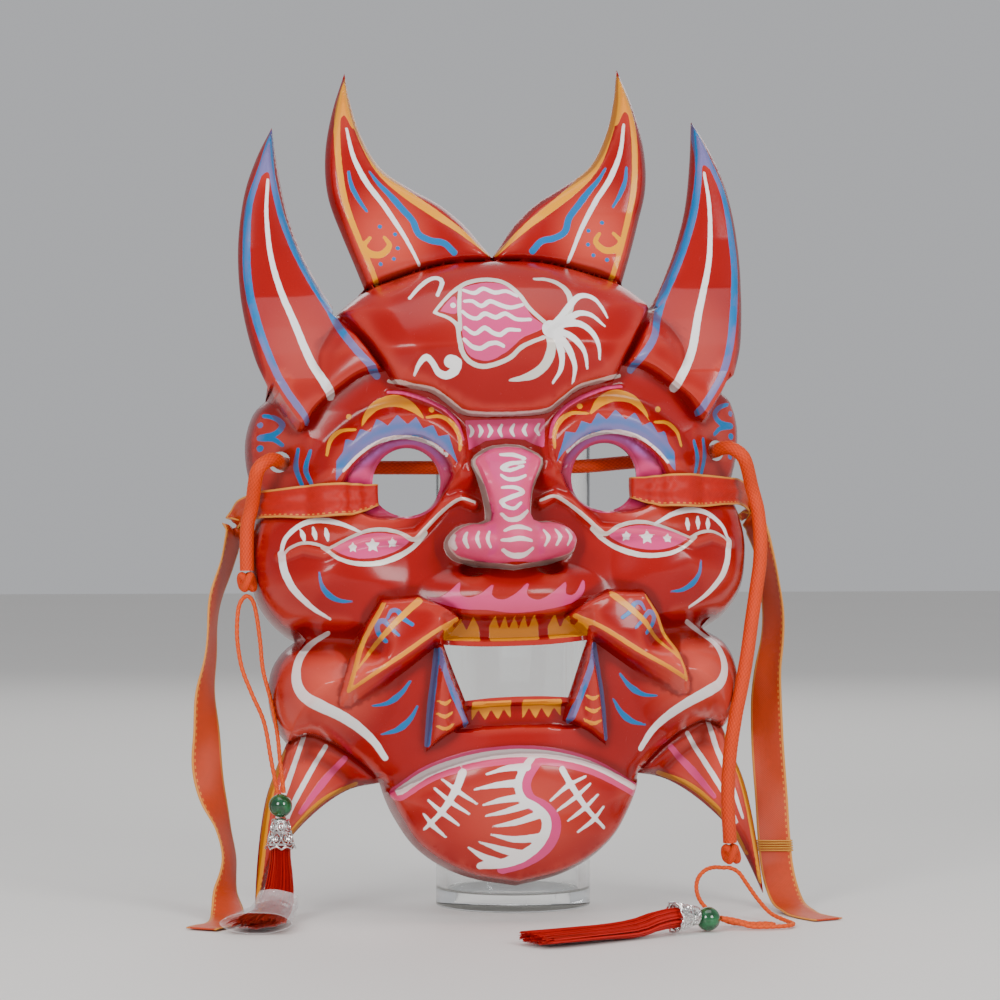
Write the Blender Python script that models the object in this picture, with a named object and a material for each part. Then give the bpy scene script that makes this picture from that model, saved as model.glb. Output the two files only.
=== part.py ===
"""Nuo opera mask of moulded red plastic, worn on a clear stand, with its cord, ribbons and tassels.

The mask is one moulded shell: a horned demon face, 180 mm wide. Its outlines and its relief are
written on a grid of mask units, one unit being a millimetre on a mask MASK_SPAN units tall:
u runs to the viewer's right, v runs up from the eye line and h runs out towards the viewer.
The forehead's roof rests on the front of the stand's tube, so the mask's place follows the stand.
World axes: +Z up, the mask faces -Y, the origin is the middle of the underside of the foot.
"""
import math

import bmesh
import bpy
import numpy as np
from mathutils import Vector, geometry

# Driving dimensions, in metres
MASK_HEIGHT = 0.2985
SHELL_WALL = 0.0018
STAND_HEIGHT = 0.2245
STAND_DIAMETER = 0.056
STAND_WALL = 0.004
STAND_FLOOR = 0.006
STAND_EDGE = 0.0006
MASK_OFFSET_X = -0.0085
MASK_OFFSET_Y = -0.014
CORD_DIAMETER = 0.005
CORD_CLEARANCE = 0.0011
TASSEL_CORD_DIAMETER = 0.0016
KNOT_DIAMETER = 0.0085
BEAD_DIAMETER = 0.0082
CAP_HEIGHT = 0.011
CAP_TOP_DIAMETER = 0.0066
CAP_MOUTH_DIAMETER = 0.0112
CAP_WALL = 0.0007
SKIRT_LENGTH = 0.060
SKIRT_THICKNESS = 0.0055
SKIRT_SPREAD = 0.019
CAP_INSERT = 0.0025
RIBBON_WIDTH = 0.0118
RIBBON_THICKNESS = 0.0006
BAND_HEIGHT = 0.003
BAND_WALL = 0.0005
FILM_WALL = 0.0004
FIT_GAP = 0.0003
FILM_GAP = 0.0005
FLOOR_GAP = 0.0003

# Attitude of the mask on its stand, in degrees
MASK_ROLL = 1.6
MASK_LEAN = 5.0

# Mesh fineness, in mask units and sides
FRONT_SPACING = 7.0
BACK_SPACING = 9.0
BACK_REACH = 4.5
OUTLINE_SPACING = 5.0
CREASE_REACH = 1.3
GRID_HALF_WIDTH = 96.0
GRID_MARGIN = 8.0
GRID_CLEARANCE = 0.52
BACK_DIRECTIONS = 8
EYE_HOLE_SIDES = 24
EAR_HOLE_SIDES = 10
ROUND_SIDES = 36
BEAD_SIDES = 12
CAP_SIDES = 14
KNOT_SIDES = 9
SKIRT_SIDES = 10
SKIRT_STATION = 0.006
FILM_FROM = 0.45

# The mask's half outlines in mask units, for the right-hand side, from the notch between the horns
MASK_SPAN = 298.5
INNER_HORN_EDGE = [(0, 75), (4, 80.5), (10, 88.5), (18, 95.5), (28, 101.5), (38, 109), (44.5, 121),
                   (48, 134), (49.5, 144.5)]
INNER_HORN_BACK = [(49.5, 144.5), (54.5, 130), (57.5, 115), (57.3, 100), (53, 85), (46, 64.5)]
HAIRLINE = [(46, 64.5), (51.5, 60.5), (56.5, 56.5)]
OUTER_HORN_EDGE = [(56.5, 56.5), (62, 66.5), (67.5, 79), (72, 93.5), (74.7, 110), (76.2, 125)]
OUTER_HORN_BACK = [(76.2, 125), (82, 114), (87, 100), (89.8, 81), (89.5, 61), (86.3, 41), (81.5, 27)]
EAR = [(81.5, 27), (86, 22.5), (88.8, 14), (88.8, 5), (87, -3), (84, -9.5)]
CHEEK = [(84, -9.5), (87, -17), (89, -27), (88.6, -36), (86.5, -45), (82, -52), (77, -56.5), (73.5, -58.5)]
JAW = [(73.5, -58.5), (78.5, -62.5), (82.2, -68), (83.8, -75), (83.6, -82), (81.8, -89), (78, -94.5)]
FIN_EDGE = [(78, -94.5), (81.5, -102.5), (85.5, -113), (88, -125), (89.8, -139), (91, -154)]
FIN_UNDER = [(91, -154), (86, -142), (80.5, -131.5), (73.5, -123.5), (64.5, -116), (55.5, -111.2),
             (46, -109.5)]
CHIN = [(46, -109.5), (44.5, -115), (41.5, -122), (35.5, -131.5), (26.5, -139), (15, -144.2), (0, -147.3)]
SILHOUETTE = [INNER_HORN_EDGE, INNER_HORN_BACK, HAIRLINE, OUTER_HORN_EDGE, OUTER_HORN_BACK, EAR, CHEEK,
              JAW, FIN_EDGE, FIN_UNDER, CHIN]

# Half outlines of the forms inside the mask
CROWN = [(0, 74.5), (15, 73.8), (26, 71.5), (36, 68.3), (46, 64.5), (56.5, 56.5)]
TEMPLE = [(56.5, 56.5), (69, 44), (81.5, 27)]
JAW_UNDER = [(78, -94.5), (71, -92), (64, -94.5), (57, -99), (51, -104), (46, -109.5)]
HORN_SEAT = [(81.5, 27), (77, 19.5), (71, 13), (64.5, 20.5), (57, 26.5), (49.5, 31), (41.5, 32.5)]
HORN_ROOT = [(41.5, 32.5), (50, 46.5), (56.5, 56.5)]
BROW_EDGE = [(41.5, 32.5), (38, 27), (33, 26.3), (25.5, 24), (19, 19.5), (14.5, 16.6), (8, 15.7), (0, 15.5)]
EYE_TOP = [(58.5, -6.5), (55.5, -1), (50.5, 4), (43.5, 8.7), (35.5, 10.3), (29, 9.6), (23.5, 6), (19.8, 1.5),
           (18, -4)]
EYE_LOW = [(18, -4), (20.5, -9), (24.5, -13.5), (29, -16.8), (36.5, -18.6), (44, -18.8), (51.5, -16),
           (58.5, -6.5)]
NOSE = [(0, 6.5), (6.5, 5.5), (12.5, 1), (10.8, -5), (8.8, -11), (8.2, -20), (13.5, -20.8), (18.5, -22.3),
        (22, -25.5), (23, -29.5), (20.5, -33.5), (15, -35.5), (8, -36.8), (0, -38)]
TUSK = [[(17.5, -54.5), (24, -50), (33, -45.3)], [(33, -45.3), (46, -46.3)],
        [(46, -46.3), (52.5, -56), (57.5, -67), (61.3, -79)], [(61.3, -79), (61, -83), (57, -83.2)],
        [(57, -83.2), (41, -73.5), (25, -61.5), (17.5, -54.5)]]
TUSK_TOP = [[(20.5, -54.2), (26, -50.3), (33.5, -47.2)], [(33.5, -47.2), (44.8, -48.2)],
            [(44.8, -48.2), (51, -57.5), (55.5, -67), (58.2, -77.5)],
            [(58.2, -77.5), (40.5, -68.3), (20.5, -54.2)]]
FANG = [[(26.5, -61), (21, -76), (16, -90.5)], [(16, -90.5), (24, -94), (31.5, -99.5)],
        [(31.5, -99.5), (29.5, -80), (26.5, -61)]]
MOUTH = [(0, -64.2), (12, -64), (25, -63), (21.5, -73), (18, -82.5), (9, -81.8), (0, -81.6)]
CHIN_TOP = [(43, -112.5), (36.5, -109.6), (29, -106), (19, -102.9), (9, -101), (0, -100.5)]
CHEEK_RIDGE = [(11.5, -14.5), (17, -11.8), (22.5, -14), (27, -19.3), (32, -24.2), (41, -25), (50, -25.5),
               (58, -27.5), (65, -30), (72, -28), (79, -30)]
BROW_LINE = [(41, 25), (35.5, 24.5), (27.5, 21.8), (21.5, 18.5), (17.3, 14), (15.6, 8), (15.6, 2), (18, -4)]
EYE_HOLE_CENTRE = (34.8, -5.7)
EYE_HOLE_RADIUS = 11.8
EAR_HOLE_CENTRE = (77.9, 4)

# The rise of the relief, in mask units
RIM_PROFILE = [(-147, 17), (-115, 13), (-95, 8), (-60, 6), (20, 6), (65, 10)]
FACE_PROFILE = [(-150, 24), (-130, 33), (-105, 38), (-80, 39), (-60, 40), (-40, 38), (-20, 34), (0, 32),
                (20, 38), (40, 45), (60, 44), (78, 38)]
FACE_ROUNDING = 46.0
OUTER_HORN_PROFILE = [(13, 12), (40, 14), (60, 14), (125, 9)]
INNER_HORN_PROFILE = [(64, 13), (75, 13), (144, 9)]
NOSE_PROFILE = [(-38, 17), (-28, 20), (-8, 12), (7, 5)]
FIN_HEIGHT = 4.0
FIN_SWELL = 1.5
PLATE_EDGE = 2.2
LID_EDGE = 1.6
RIM_TURN = 2.5
RIM_WIDTH = 3.0
EDGE_SLACK = 0.3

# The part of the back sheet that can meet the tube's rim
ROOF_FROM = 45.0
ROOF_HALF = 48.0
ROOF_SAMPLES = 30

WHOLE_TURN = 2.0 * math.pi


def spline(points, spacing):
    """Points at about the given spacing along a smooth curve through the given points."""
    knots = np.array(points, float)
    ends = np.vstack([2 * knots[0] - knots[1], knots, 2 * knots[-1] - knots[-2]])
    curve = []
    for i in range(len(knots) - 1):
        a, b, c, d = ends[i:i + 4]
        count = max(1, int(round(np.linalg.norm((c - b)[:3]) / spacing)))
        for step in range(count):
            t = step / count
            curve.append(0.5 * (2 * b + (c - a) * t + (2 * a - 5 * b + 4 * c - d) * t ** 2
                                + (3 * b - a - 3 * c + d) * t ** 3))
    curve.append(knots[-1])
    return np.array(curve)


def joined(stretches, spacing=OUTLINE_SPACING):
    """One line through stretches that meet in corners."""
    runs = [spline(stretch, spacing) for stretch in stretches]
    return np.vstack([runs[0]] + [run[1:] for run in runs[1:]])


def flipped(line):
    """The line on the mask's other half."""
    return np.array(line) * (-1, 1)


def closed_half(stretches, spacing=OUTLINE_SPACING):
    """A closed outline from half of it, whose two ends lie on the middle line."""
    half = joined(stretches, spacing)
    return np.vstack([half, flipped(half)[-2:0:-1]])


def closed_side(stretches, spacing=OUTLINE_SPACING):
    """A closed outline that lies on one side of the mask."""
    return joined(stretches, spacing)[:-1]


def circle(centre, radius, sides):
    angles = np.arange(sides) * WHOLE_TURN / sides
    return np.column_stack([centre[0] + radius * np.cos(angles), centre[1] + radius * np.sin(angles)])


def line_distance(u, v, line, closed=True):
    """Distance in the plane from each point to a line."""
    a = np.array(line)
    b = np.roll(a, -1, axis=0)
    if not closed:
        a, b = a[:-1], b[:-1]
    nearest = np.full(np.shape(u), 1e9)
    for (au, av), (bu, bv) in zip(a, b):
        du, dv = bu - au, bv - av
        t = np.clip(((u - au) * du + (v - av) * dv) / max(du * du + dv * dv, 1e-12), 0, 1)
        nearest = np.minimum(nearest, np.hypot(u - au - t * du, v - av - t * dv))
    return nearest


def inside(u, v, outline):
    """True where a point lies within a closed outline."""
    a = np.array(outline)
    b = np.roll(a, -1, axis=0)
    odd = np.zeros(np.shape(u), bool)
    for (au, av), (bu, bv) in zip(a, b):
        if av != bv:
            crosses = (av > v) != (bv > v)
            odd ^= crosses & (u < au + (v - av) * (bu - au) / (bv - av))
    return odd


def depth_in(u, v, outline):
    """Distance from a closed outline, positive within it."""
    return line_distance(u, v, outline) * np.where(inside(u, v, outline), 1.0, -1.0)


def rise(distance, width):
    """0 outside, 1 beyond the width, with a smooth ramp between."""
    t = np.clip(distance / width, 0, 1)
    return t * t * (3 - 2 * t)


def bulge(distance, width):
    """0 at an edge, 1 beyond the width, swelling as a quarter round does."""
    t = np.clip(distance / width, 0, 1)
    return np.sqrt(1 - (1 - t) ** 2)


def dome(u, v, centre, radii):
    """A smooth mound, 1 in its middle and 0 outside an ellipse."""
    q = ((u - centre[0]) / radii[0]) ** 2 + ((v - centre[1]) / radii[1]) ** 2
    return np.clip(1 - q, 0, 1) ** 1.5


def by_height(v, profile):
    """Value at v along a profile of (v, value) rows."""
    return np.interp(v, [row[0] for row in profile], [row[1] for row in profile])


def mask_outlines():
    """The closed outlines that the relief is measured from, on the right-hand side or the whole."""
    return {
        "silhouette": closed_half(SILHOUETTE),
        "face": closed_half([CROWN, TEMPLE, EAR, CHEEK, JAW, JAW_UNDER, CHIN]),
        "forehead": closed_half([CROWN, HORN_ROOT[::-1], BROW_EDGE]),
        "outer_horn": closed_side([OUTER_HORN_EDGE, OUTER_HORN_BACK, HORN_SEAT, HORN_ROOT]),
        "inner_horn": closed_side([INNER_HORN_EDGE, INNER_HORN_BACK, CROWN[4::-1]]),
        "eye": closed_side([EYE_TOP, EYE_LOW]),
        "nose": closed_half([NOSE]),
        "tusk": closed_side(TUSK),
        "tusk_top": closed_side(TUSK_TOP),
        "fin": closed_side([FIN_EDGE, FIN_UNDER, JAW_UNDER[::-1]]),
        "fang": closed_side(FANG),
        "mouth": closed_half([MOUTH[:3], MOUTH[2:5], MOUTH[4:]]),
        "chin": closed_half([CHIN_TOP[::-1], CHIN]),
    }


def climb(u, v, foot, top):
    """0 at a foot outline, 1 within the smaller outline of the top that it leads up to."""
    up = np.clip(depth_in(u, v, foot), 0, None)
    left = np.clip(-depth_in(u, v, top), 0, None)
    return up / np.maximum(up + left, 1e-6)


def relief(u, v, lines):
    """Height of the mask's front surface over its rim plane, at points on its grid."""
    a = np.abs(u)
    in_face = depth_in(u, v, lines["face"])
    on_face = in_face > -EDGE_SLACK
    rim = by_height(v, RIM_PROFILE)
    fin = FIN_HEIGHT + FIN_SWELL * bulge(depth_in(a, v, lines["fin"]), 5)
    h = np.where(on_face, rim + (by_height(v, FACE_PROFILE) - rim) * bulge(in_face, FACE_ROUNDING), fin)

    # Ears, cheek and jaw lobes, with a hollow between cheek and jaw
    h -= 7 * dome(a, v, (82, 4), (15, 22)) * on_face
    h += 6 * dome(a, v, (62, -38), (27, 22))
    h += 7 * dome(a, v, (63, -78), (23, 19))
    h -= 6 * rise(8 - line_distance(a, v, [(74, -58.5), (60, -60), (50, -62)], closed=False), 8) * on_face

    # The forehead swells over the bridge of the nose and ends there in an edge
    in_forehead = depth_in(u, v, lines["forehead"])
    h += 4 * rise(in_forehead, PLATE_EDGE) + 5 * bulge(in_forehead, 24)

    # Pillow of the brow, a thin raised line round it, and the sunken eye within its lids
    in_eye = depth_in(a, v, lines["eye"])
    above_cheek = rise(v + 14, 12) * (1 - rise(in_forehead, PLATE_EDGE))
    h += 6 * rise(in_eye + 13, 9) * above_cheek
    h += 1.2 * rise(1.2 - line_distance(a, v, BROW_LINE, closed=False), 1.2)
    h -= 4.0 * rise(in_eye, LID_EDGE) + 3.0 * rise(in_eye - LID_EDGE, 7)

    # Nose, with its tip, its two wings and the nostrils
    in_nose = depth_in(u, v, lines["nose"])
    h += by_height(v, NOSE_PROFILE) * (0.45 * rise(in_nose, PLATE_EDGE) + 0.55 * bulge(in_nose, 7.5))
    h += 8 * dome(u, v, (0, -27.5), (11, 12)) + 5 * dome(a, v, (14.8, -28.5), (8, 8))
    h -= 6 * dome(a, v, (13.5, -37.2), (5.5, 3.2))

    # Upper lip, the ridge from the nose round the cheek, the teeth and the lips
    h += 9 * dome(u, v, (0, -46), (34, 13))
    h += 2.2 * rise(3 - line_distance(a, v, CHEEK_RIDGE, closed=False), 3)
    in_mouth = depth_in(u, v, lines["mouth"])
    h -= 2.5 * rise(in_mouth + 11, 1.5) * rise(27 - a, 4)
    h += 3.0 * rise(in_mouth + 3.2, 1.5)

    # Tusks, fangs and the chin stand on the face as plates
    h += 9 * climb(a, v, lines["tusk"], lines["tusk_top"]) + 1.5 * bulge(depth_in(a, v, lines["tusk_top"]), 9)
    in_fang = depth_in(a, v, lines["fang"])
    h += 6 * rise(in_fang, PLATE_EDGE) + 2.5 * bulge(in_fang, 7)
    in_chin = depth_in(u, v, lines["chin"])
    h += (4 * rise(in_chin, PLATE_EDGE) + 7 * bulge(in_chin, 24)) * (in_chin > 0)

    # Horns lie over the face and stand free beyond it
    in_horn = depth_in(a, v, lines["outer_horn"])
    horn = np.maximum(by_height(v, OUTER_HORN_PROFILE), (h + 4.5) * on_face) + 3 * bulge(in_horn, 9)
    over_face = on_face & (in_horn >= 0)
    h = np.where(over_face, h + (horn - h) * rise(in_horn, PLATE_EDGE), h)
    h = np.where((in_horn > -EDGE_SLACK) & ~on_face, horn, h)
    in_horn = depth_in(a, v, lines["inner_horn"])
    beyond = (in_horn > -EDGE_SLACK) & ~(in_face > 0)
    h = np.where(beyond, by_height(v, INNER_HORN_PROFILE) + 3 * bulge(in_horn, 9), h)

    # The rim all round is turned back a little
    return h - RIM_TURN * (1 - rise(depth_in(u, v, lines["silhouette"]), RIM_WIDTH))


def unit():
    """Metres in one mask unit."""
    return MASK_HEIGHT / MASK_SPAN


def mask_axes():
    """World directions of u, v and h."""
    lean, roll = math.radians(MASK_LEAN), math.radians(MASK_ROLL)
    up = np.array([0, math.sin(lean), math.cos(lean)])
    out = np.array([0, -math.cos(lean), math.sin(lean)])
    side = np.array([1.0, 0, 0])
    return (side * math.cos(roll) + up * math.sin(roll), up * math.cos(roll) - side * math.sin(roll), out)


def placed(origin, u, v, h):
    """World points of mask points, in metres."""
    side, up, out = mask_axes()
    return origin + unit() * (np.outer(u, side) + np.outer(v, up) + np.outer(h, out))


def mask_origin(sheet):
    """Where the mask's eye line lies once the forehead's roof rests on the rim of the tube."""
    plan, faces, height = sheet
    points = np.column_stack([plan, height])
    middle = plan[faces].mean(axis=1)
    roof = points[faces[(middle[:, 1] > ROOF_FROM) & (np.abs(middle[:, 0]) < ROOF_HALF)]]
    steps = np.arange(ROOF_SAMPLES + 1) / ROOF_SAMPLES
    shares = np.array([(p, q, 1 - p - q) for p in steps for q in steps if p + q <= 1])
    over = np.einsum("sc,fcd->fsd", shares, roof).reshape(-1, 3)
    start = np.array([MASK_OFFSET_X, MASK_OFFSET_Y, 0.0])
    world = placed(start, over[:, 0], over[:, 1], over[:, 2])
    radius = np.hypot(world[:, 0], world[:, 1])
    rim = (radius < STAND_DIAMETER / 2 + FIT_GAP) & (radius > STAND_DIAMETER / 2 - STAND_WALL - FIT_GAP)
    return start + (0, 0, STAND_HEIGHT + FIT_GAP - world[rim, 2].min())


def lattice(lines, spacing, keep_off):
    """Grid points within the mask's edge that keep off the given lines."""
    rows = np.arange(-MASK_SPAN / 2 - GRID_MARGIN, MASK_SPAN / 2, spacing * math.sqrt(3) / 2)
    points = []
    for i, row in enumerate(rows):
        start = -GRID_HALF_WIDTH + (spacing / 2 if i % 2 else 0)
        points += [(x, row) for x in np.arange(start, GRID_HALF_WIDTH, spacing)]
    u, v = np.array(points).T
    near = np.min([line_distance(u, v, line, closed) for line, closed in keep_off], axis=0)
    keep = (depth_in(u, v, lines["silhouette"]) > 0) & (near > GRID_CLEARANCE * spacing)
    return np.column_stack([u[keep], v[keep]])


def triangulated(lines, borders, creases, spacing):
    """Triangles over the mask's plan, between its borders, with an edge along every crease."""
    loops = [(line, True) for line in borders] + creases
    points = [tuple(p) for p in lattice(lines, spacing, loops)]
    edges = []
    for line, closed in loops:
        first, count = len(points), len(line)
        points += [tuple(p) for p in line]
        edges += [(first + i, first + i + 1) for i in range(count - 1)]
        if closed:
            edges.append((first + count - 1, first))
    made = geometry.delaunay_2d_cdt([Vector(p) for p in points], edges, [], 0, 1e-4, False)
    plan = np.array([tuple(p) for p in made[0]])
    faces = np.array(made[2])
    middle = plan[faces].mean(axis=1)
    keep = inside(middle[:, 0], middle[:, 1], borders[0])
    for hole in borders[1:]:
        keep &= ~inside(middle[:, 0], middle[:, 1], hole)
    return plan, faces[keep]


def inset(line, distance):
    """A closed outline moved inwards."""
    points = np.array(line)
    after = np.roll(points, -1, axis=0)
    along = after - np.roll(points, 1, axis=0)
    normal = np.column_stack([-along[:, 1], along[:, 0]]) / np.linalg.norm(along, axis=1)[:, None]
    area = np.sum(points[:, 0] * after[:, 1] - after[:, 0] * points[:, 1])
    moved = points + normal * math.copysign(distance, area)
    keep = line_distance(moved[:, 0], moved[:, 1], points) > 0.85 * distance
    return moved[keep]


def mask_creases(lines):
    """Closed lines along which the front has an edge: the foot and the brink of each raised form."""
    creases = [(inset(lines["silhouette"], RIM_WIDTH), True)]
    creases += [(lines["face"], True), (inset(lines["face"], RIM_WIDTH), True)]
    for name in ("forehead", "nose", "chin"):
        creases += [(lines[name], True), (inset(lines[name], PLATE_EDGE), True)]
    for name, edge in (("outer_horn", PLATE_EDGE), ("eye", LID_EDGE), ("fang", PLATE_EDGE)):
        for line in (lines[name], inset(lines[name], edge)):
            creases += [(line, True), (flipped(line), True)]
    for name in ("tusk", "tusk_top"):
        creases += [(lines[name], True), (flipped(lines[name]), True)]
    return creases


def mask_borders(lines):
    """The mask's edge and its holes: mouth, eyes and the holes in the ears for the cord."""
    ear_hole = (CORD_DIAMETER / 2 + CORD_CLEARANCE) / unit()
    borders = [lines["silhouette"], lines["mouth"]]
    for side in (1, -1):
        eye = (side * EYE_HOLE_CENTRE[0], EYE_HOLE_CENTRE[1])
        ear = (side * EAR_HOLE_CENTRE[0], EAR_HOLE_CENTRE[1])
        borders += [circle(eye, EYE_HOLE_RADIUS, EYE_HOLE_SIDES), circle(ear, ear_hole, EAR_HOLE_SIDES)]
    return borders


def clear_runs(creases, borders, reach):
    """The stretches of each crease that keep off the borders, so that no border gains a corner."""
    kept = []
    for line, closed in creases:
        u, v = line.T
        clear = np.min([line_distance(u, v, border) for border in borders], axis=0) > reach
        clear &= inside(u, v, borders[0])
        for hole in borders[1:]:
            clear &= ~inside(u, v, hole)
        if closed and clear.all():
            kept.append((line, True))
            continue
        if closed:
            first = int(np.argmin(clear))
            line, clear = np.roll(line, -first, axis=0), np.roll(clear, -first)
        for run in np.split(np.arange(len(line)), np.flatnonzero(np.diff(clear)) + 1):
            if clear[run[0]] and len(run) > 1:
                kept.append((line[run], False))
    return kept


def front_sheet(lines):
    """Plan, faces and heights of the mask's front."""
    borders = mask_borders(lines)
    creases = clear_runs(mask_creases(lines), borders, CREASE_REACH)
    plan, faces = triangulated(lines, borders, creases, FRONT_SPACING)
    return plan, faces, relief(plan[:, 0], plan[:, 1], lines)


def back_sheet(lines):
    """Plan, faces and heights of the hollow side, which is plainer and keeps a wall behind the front."""
    plan, faces = triangulated(lines, mask_borders(lines), [], BACK_SPACING)
    lowest = relief(plan[:, 0], plan[:, 1], lines)
    reach = np.where(edge_vertices(faces), 0.0, BACK_REACH)
    for angle in np.arange(BACK_DIRECTIONS) * WHOLE_TURN / BACK_DIRECTIONS:
        u = plan[:, 0] + reach * math.cos(angle)
        v = plan[:, 1] + reach * math.sin(angle)
        near = relief(u, v, lines)
        lowest = np.minimum(lowest, np.where(inside(u, v, lines["silhouette"]), near, lowest))
    return plan, faces, lowest - SHELL_WALL / unit()


def edge_vertices(faces):
    """True for each vertex that lies on the border of a sheet."""
    counts = {}
    for a, b, c in faces:
        for pair in ((a, b), (b, c), (c, a)):
            key = (min(pair), max(pair))
            counts[key] = counts.get(key, 0) + 1
    rim = np.zeros(faces.max() + 1, bool)
    for (a, b), count in counts.items():
        if count == 1:
            rim[[a, b]] = True
    return rim


def border_runs(faces):
    """Directed edges that belong to one triangle only."""
    seen = {(a, b) for tri in faces for a, b in zip(tri, np.roll(tri, -1))}
    return [(a, b) for a, b in seen if (b, a) not in seen]


def material(name, colour, roughness, metallic=0.0, transmission=0.0):
    finish = bpy.data.materials.new(name)
    finish.use_nodes = True
    shader = finish.node_tree.nodes["Principled BSDF"]
    shader.inputs["Base Color"].default_value = (*colour, 1.0)
    shader.inputs["Roughness"].default_value = roughness
    shader.inputs["Metallic"].default_value = metallic
    shader.inputs["Transmission Weight"].default_value = transmission
    finish.diffuse_color = (*colour, 1.0)
    return finish


def add_object(name, data, finish):
    piece = bpy.data.objects.new(name, data)
    bpy.context.scene.collection.objects.link(piece)
    data.materials.append(finish)
    return piece


def mesh_object(name, shape, finish, smooth_angle=math.radians(35)):
    """A finished bmesh as a named object."""
    mesh = bpy.data.meshes.new(name)
    shape.to_mesh(mesh)
    shape.free()
    mesh.shade_smooth()
    mesh.set_sharp_from_angle(angle=smooth_angle)
    return add_object(name, mesh, finish)


def make_mask_shell(front_side, back_side, origin):
    """The moulded face: a front sheet, a back sheet a wall behind it and the rim between them."""
    front, front_faces, front_height = front_side
    back, back_faces, back_height = back_side
    shape = bmesh.new()
    outer = [shape.verts.new(p) for p in placed(origin, front[:, 0], front[:, 1], front_height)]
    inner = [shape.verts.new(p) for p in placed(origin, back[:, 0], back[:, 1], back_height)]
    for a, b, c in front_faces:
        shape.faces.new((outer[a], outer[b], outer[c]))
    for a, b, c in back_faces:
        shape.faces.new((inner[c], inner[b], inner[a]))
    behind = {(round(u, 3), round(v, 3)): vert for (u, v), vert in zip(back, inner)}
    for a, b in border_runs(front_faces):
        back_a = behind[(round(front[a, 0], 3), round(front[a, 1], 3))]
        back_b = behind[(round(front[b, 0], 3), round(front[b, 1], 3))]
        shape.faces.new((outer[b], outer[a], back_a, back_b))
    loose = [vert for vert in shape.verts if not vert.link_faces]
    bmesh.ops.delete(shape, geom=loose, context="VERTS")
    bmesh.ops.triangulate(shape, faces=shape.faces[:])
    return mesh_object("mask_shell", shape, material("red_plastic", (0.75, 0.02, 0.015), 0.25))


def turned(profile, sides=ROUND_SIDES):
    """A solid turned about Z from (radius, height) pairs that run up its outside and back."""
    shape = bmesh.new()
    verts = [shape.verts.new((r, 0, z)) for r, z in profile]
    edges = [shape.edges.new(pair) for pair in zip(verts, verts[1:])]
    bmesh.ops.spin(shape, geom=verts + edges, cent=(0, 0, 0), axis=(0, 0, 1), angle=WHOLE_TURN,
                   steps=sides, use_merge=True)
    bmesh.ops.remove_doubles(shape, verts=shape.verts[:], dist=1e-6)
    bmesh.ops.recalc_face_normals(shape, faces=shape.faces[:])
    return shape


def make_stand():
    """Clear acrylic tube with a floor, eased edges and an open top."""
    outer = STAND_DIAMETER / 2
    bore = outer - STAND_WALL
    profile = [(0, 0), (outer - STAND_EDGE, 0), (outer, STAND_EDGE), (outer, STAND_HEIGHT - STAND_EDGE),
               (outer - STAND_EDGE, STAND_HEIGHT), (bore + STAND_EDGE, STAND_HEIGHT),
               (bore, STAND_HEIGHT - STAND_EDGE), (bore, STAND_FLOOR), (0, STAND_FLOOR)]
    clear = material("clear_acrylic", (0.95, 0.96, 0.97), 0.03, transmission=1.0)
    return mesh_object("display_stand", turned(profile), clear)


def make_cord(name, route, diameter, finish, spacing):
    """A round cord as a bevelled curve through a route."""
    curve = bpy.data.curves.new(name, "CURVE")
    curve.dimensions = "3D"
    curve.bevel_depth = diameter / 2
    curve.bevel_resolution = 2
    curve.use_fill_caps = True
    points = spline(route, spacing)
    line = curve.splines.new("POLY")
    line.points.add(len(points) - 1)
    for spot, point in zip(line.points, points):
        spot.co = (*point, 1.0)
    return add_object(name, curve, finish)


def frames_along(centres, sides):
    """Unit side and normal directions for each station of a strip."""
    centres, sides = np.array(centres), np.array(sides)
    along = np.gradient(centres, axis=0)
    along /= np.linalg.norm(along, axis=1)[:, None]
    sides = sides - along * np.sum(sides * along, axis=1)[:, None]
    sides /= np.linalg.norm(sides, axis=1)[:, None]
    return sides, np.cross(along, sides)


def lofted(rings):
    """Closed skin over rings of points; all rings have as many points."""
    shape = bmesh.new()
    loops = [[shape.verts.new(p) for p in ring] for ring in rings]
    for lower, upper in zip(loops, loops[1:]):
        for i in range(len(lower)):
            j = (i + 1) % len(lower)
            shape.faces.new((lower[i], lower[j], upper[j], upper[i]))
    shape.faces.new(loops[0][::-1])
    shape.faces.new(loops[-1])
    bmesh.ops.recalc_face_normals(shape, faces=shape.faces[:])
    return shape


def strip_rings(centres, sides, widths, thickness):
    """Four-cornered rings of a flat strip."""
    across, normals = frames_along(centres, sides)
    rings = []
    for centre, side, normal, width in zip(centres, across, normals, widths):
        half, deep = side * width / 2, normal * thickness / 2
        rings.append([centre - half - deep, centre + half - deep, centre + half + deep, centre - half + deep])
    return rings


# Routes outside the mask: points in metres in the world
CORD_LEFT = [(-0.0980, -0.0318, 0.1220), (-0.0981, -0.0318, 0.1300), (-0.0978, -0.0320, 0.1380),
             (-0.0963, -0.0330, 0.1450)]
CORD_RIGHT = [(0.0815, -0.0345, 0.1510), (0.0835, -0.0350, 0.1430), (0.0842, -0.0358, 0.1340),
              (0.0838, -0.0372, 0.1250), (0.0822, -0.0392, 0.1160), (0.0801, -0.0416, 0.1050),
              (0.0779, -0.0440, 0.0926), (0.0757, -0.0450, 0.0813), (0.0734, -0.0450, 0.0700),
              (0.0717, -0.0438, 0.0567), (0.0712, -0.0424, 0.0418), (0.0722, -0.0412, 0.0256)]
CORD_BEHIND = [(-0.0450, -0.0262, 0.1582), (-0.0250, -0.0310, 0.1582), (0, -0.0322, 0.1583),
               (0.0200, -0.0316, 0.1587), (0.0360, -0.0262, 0.1600)]
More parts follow.
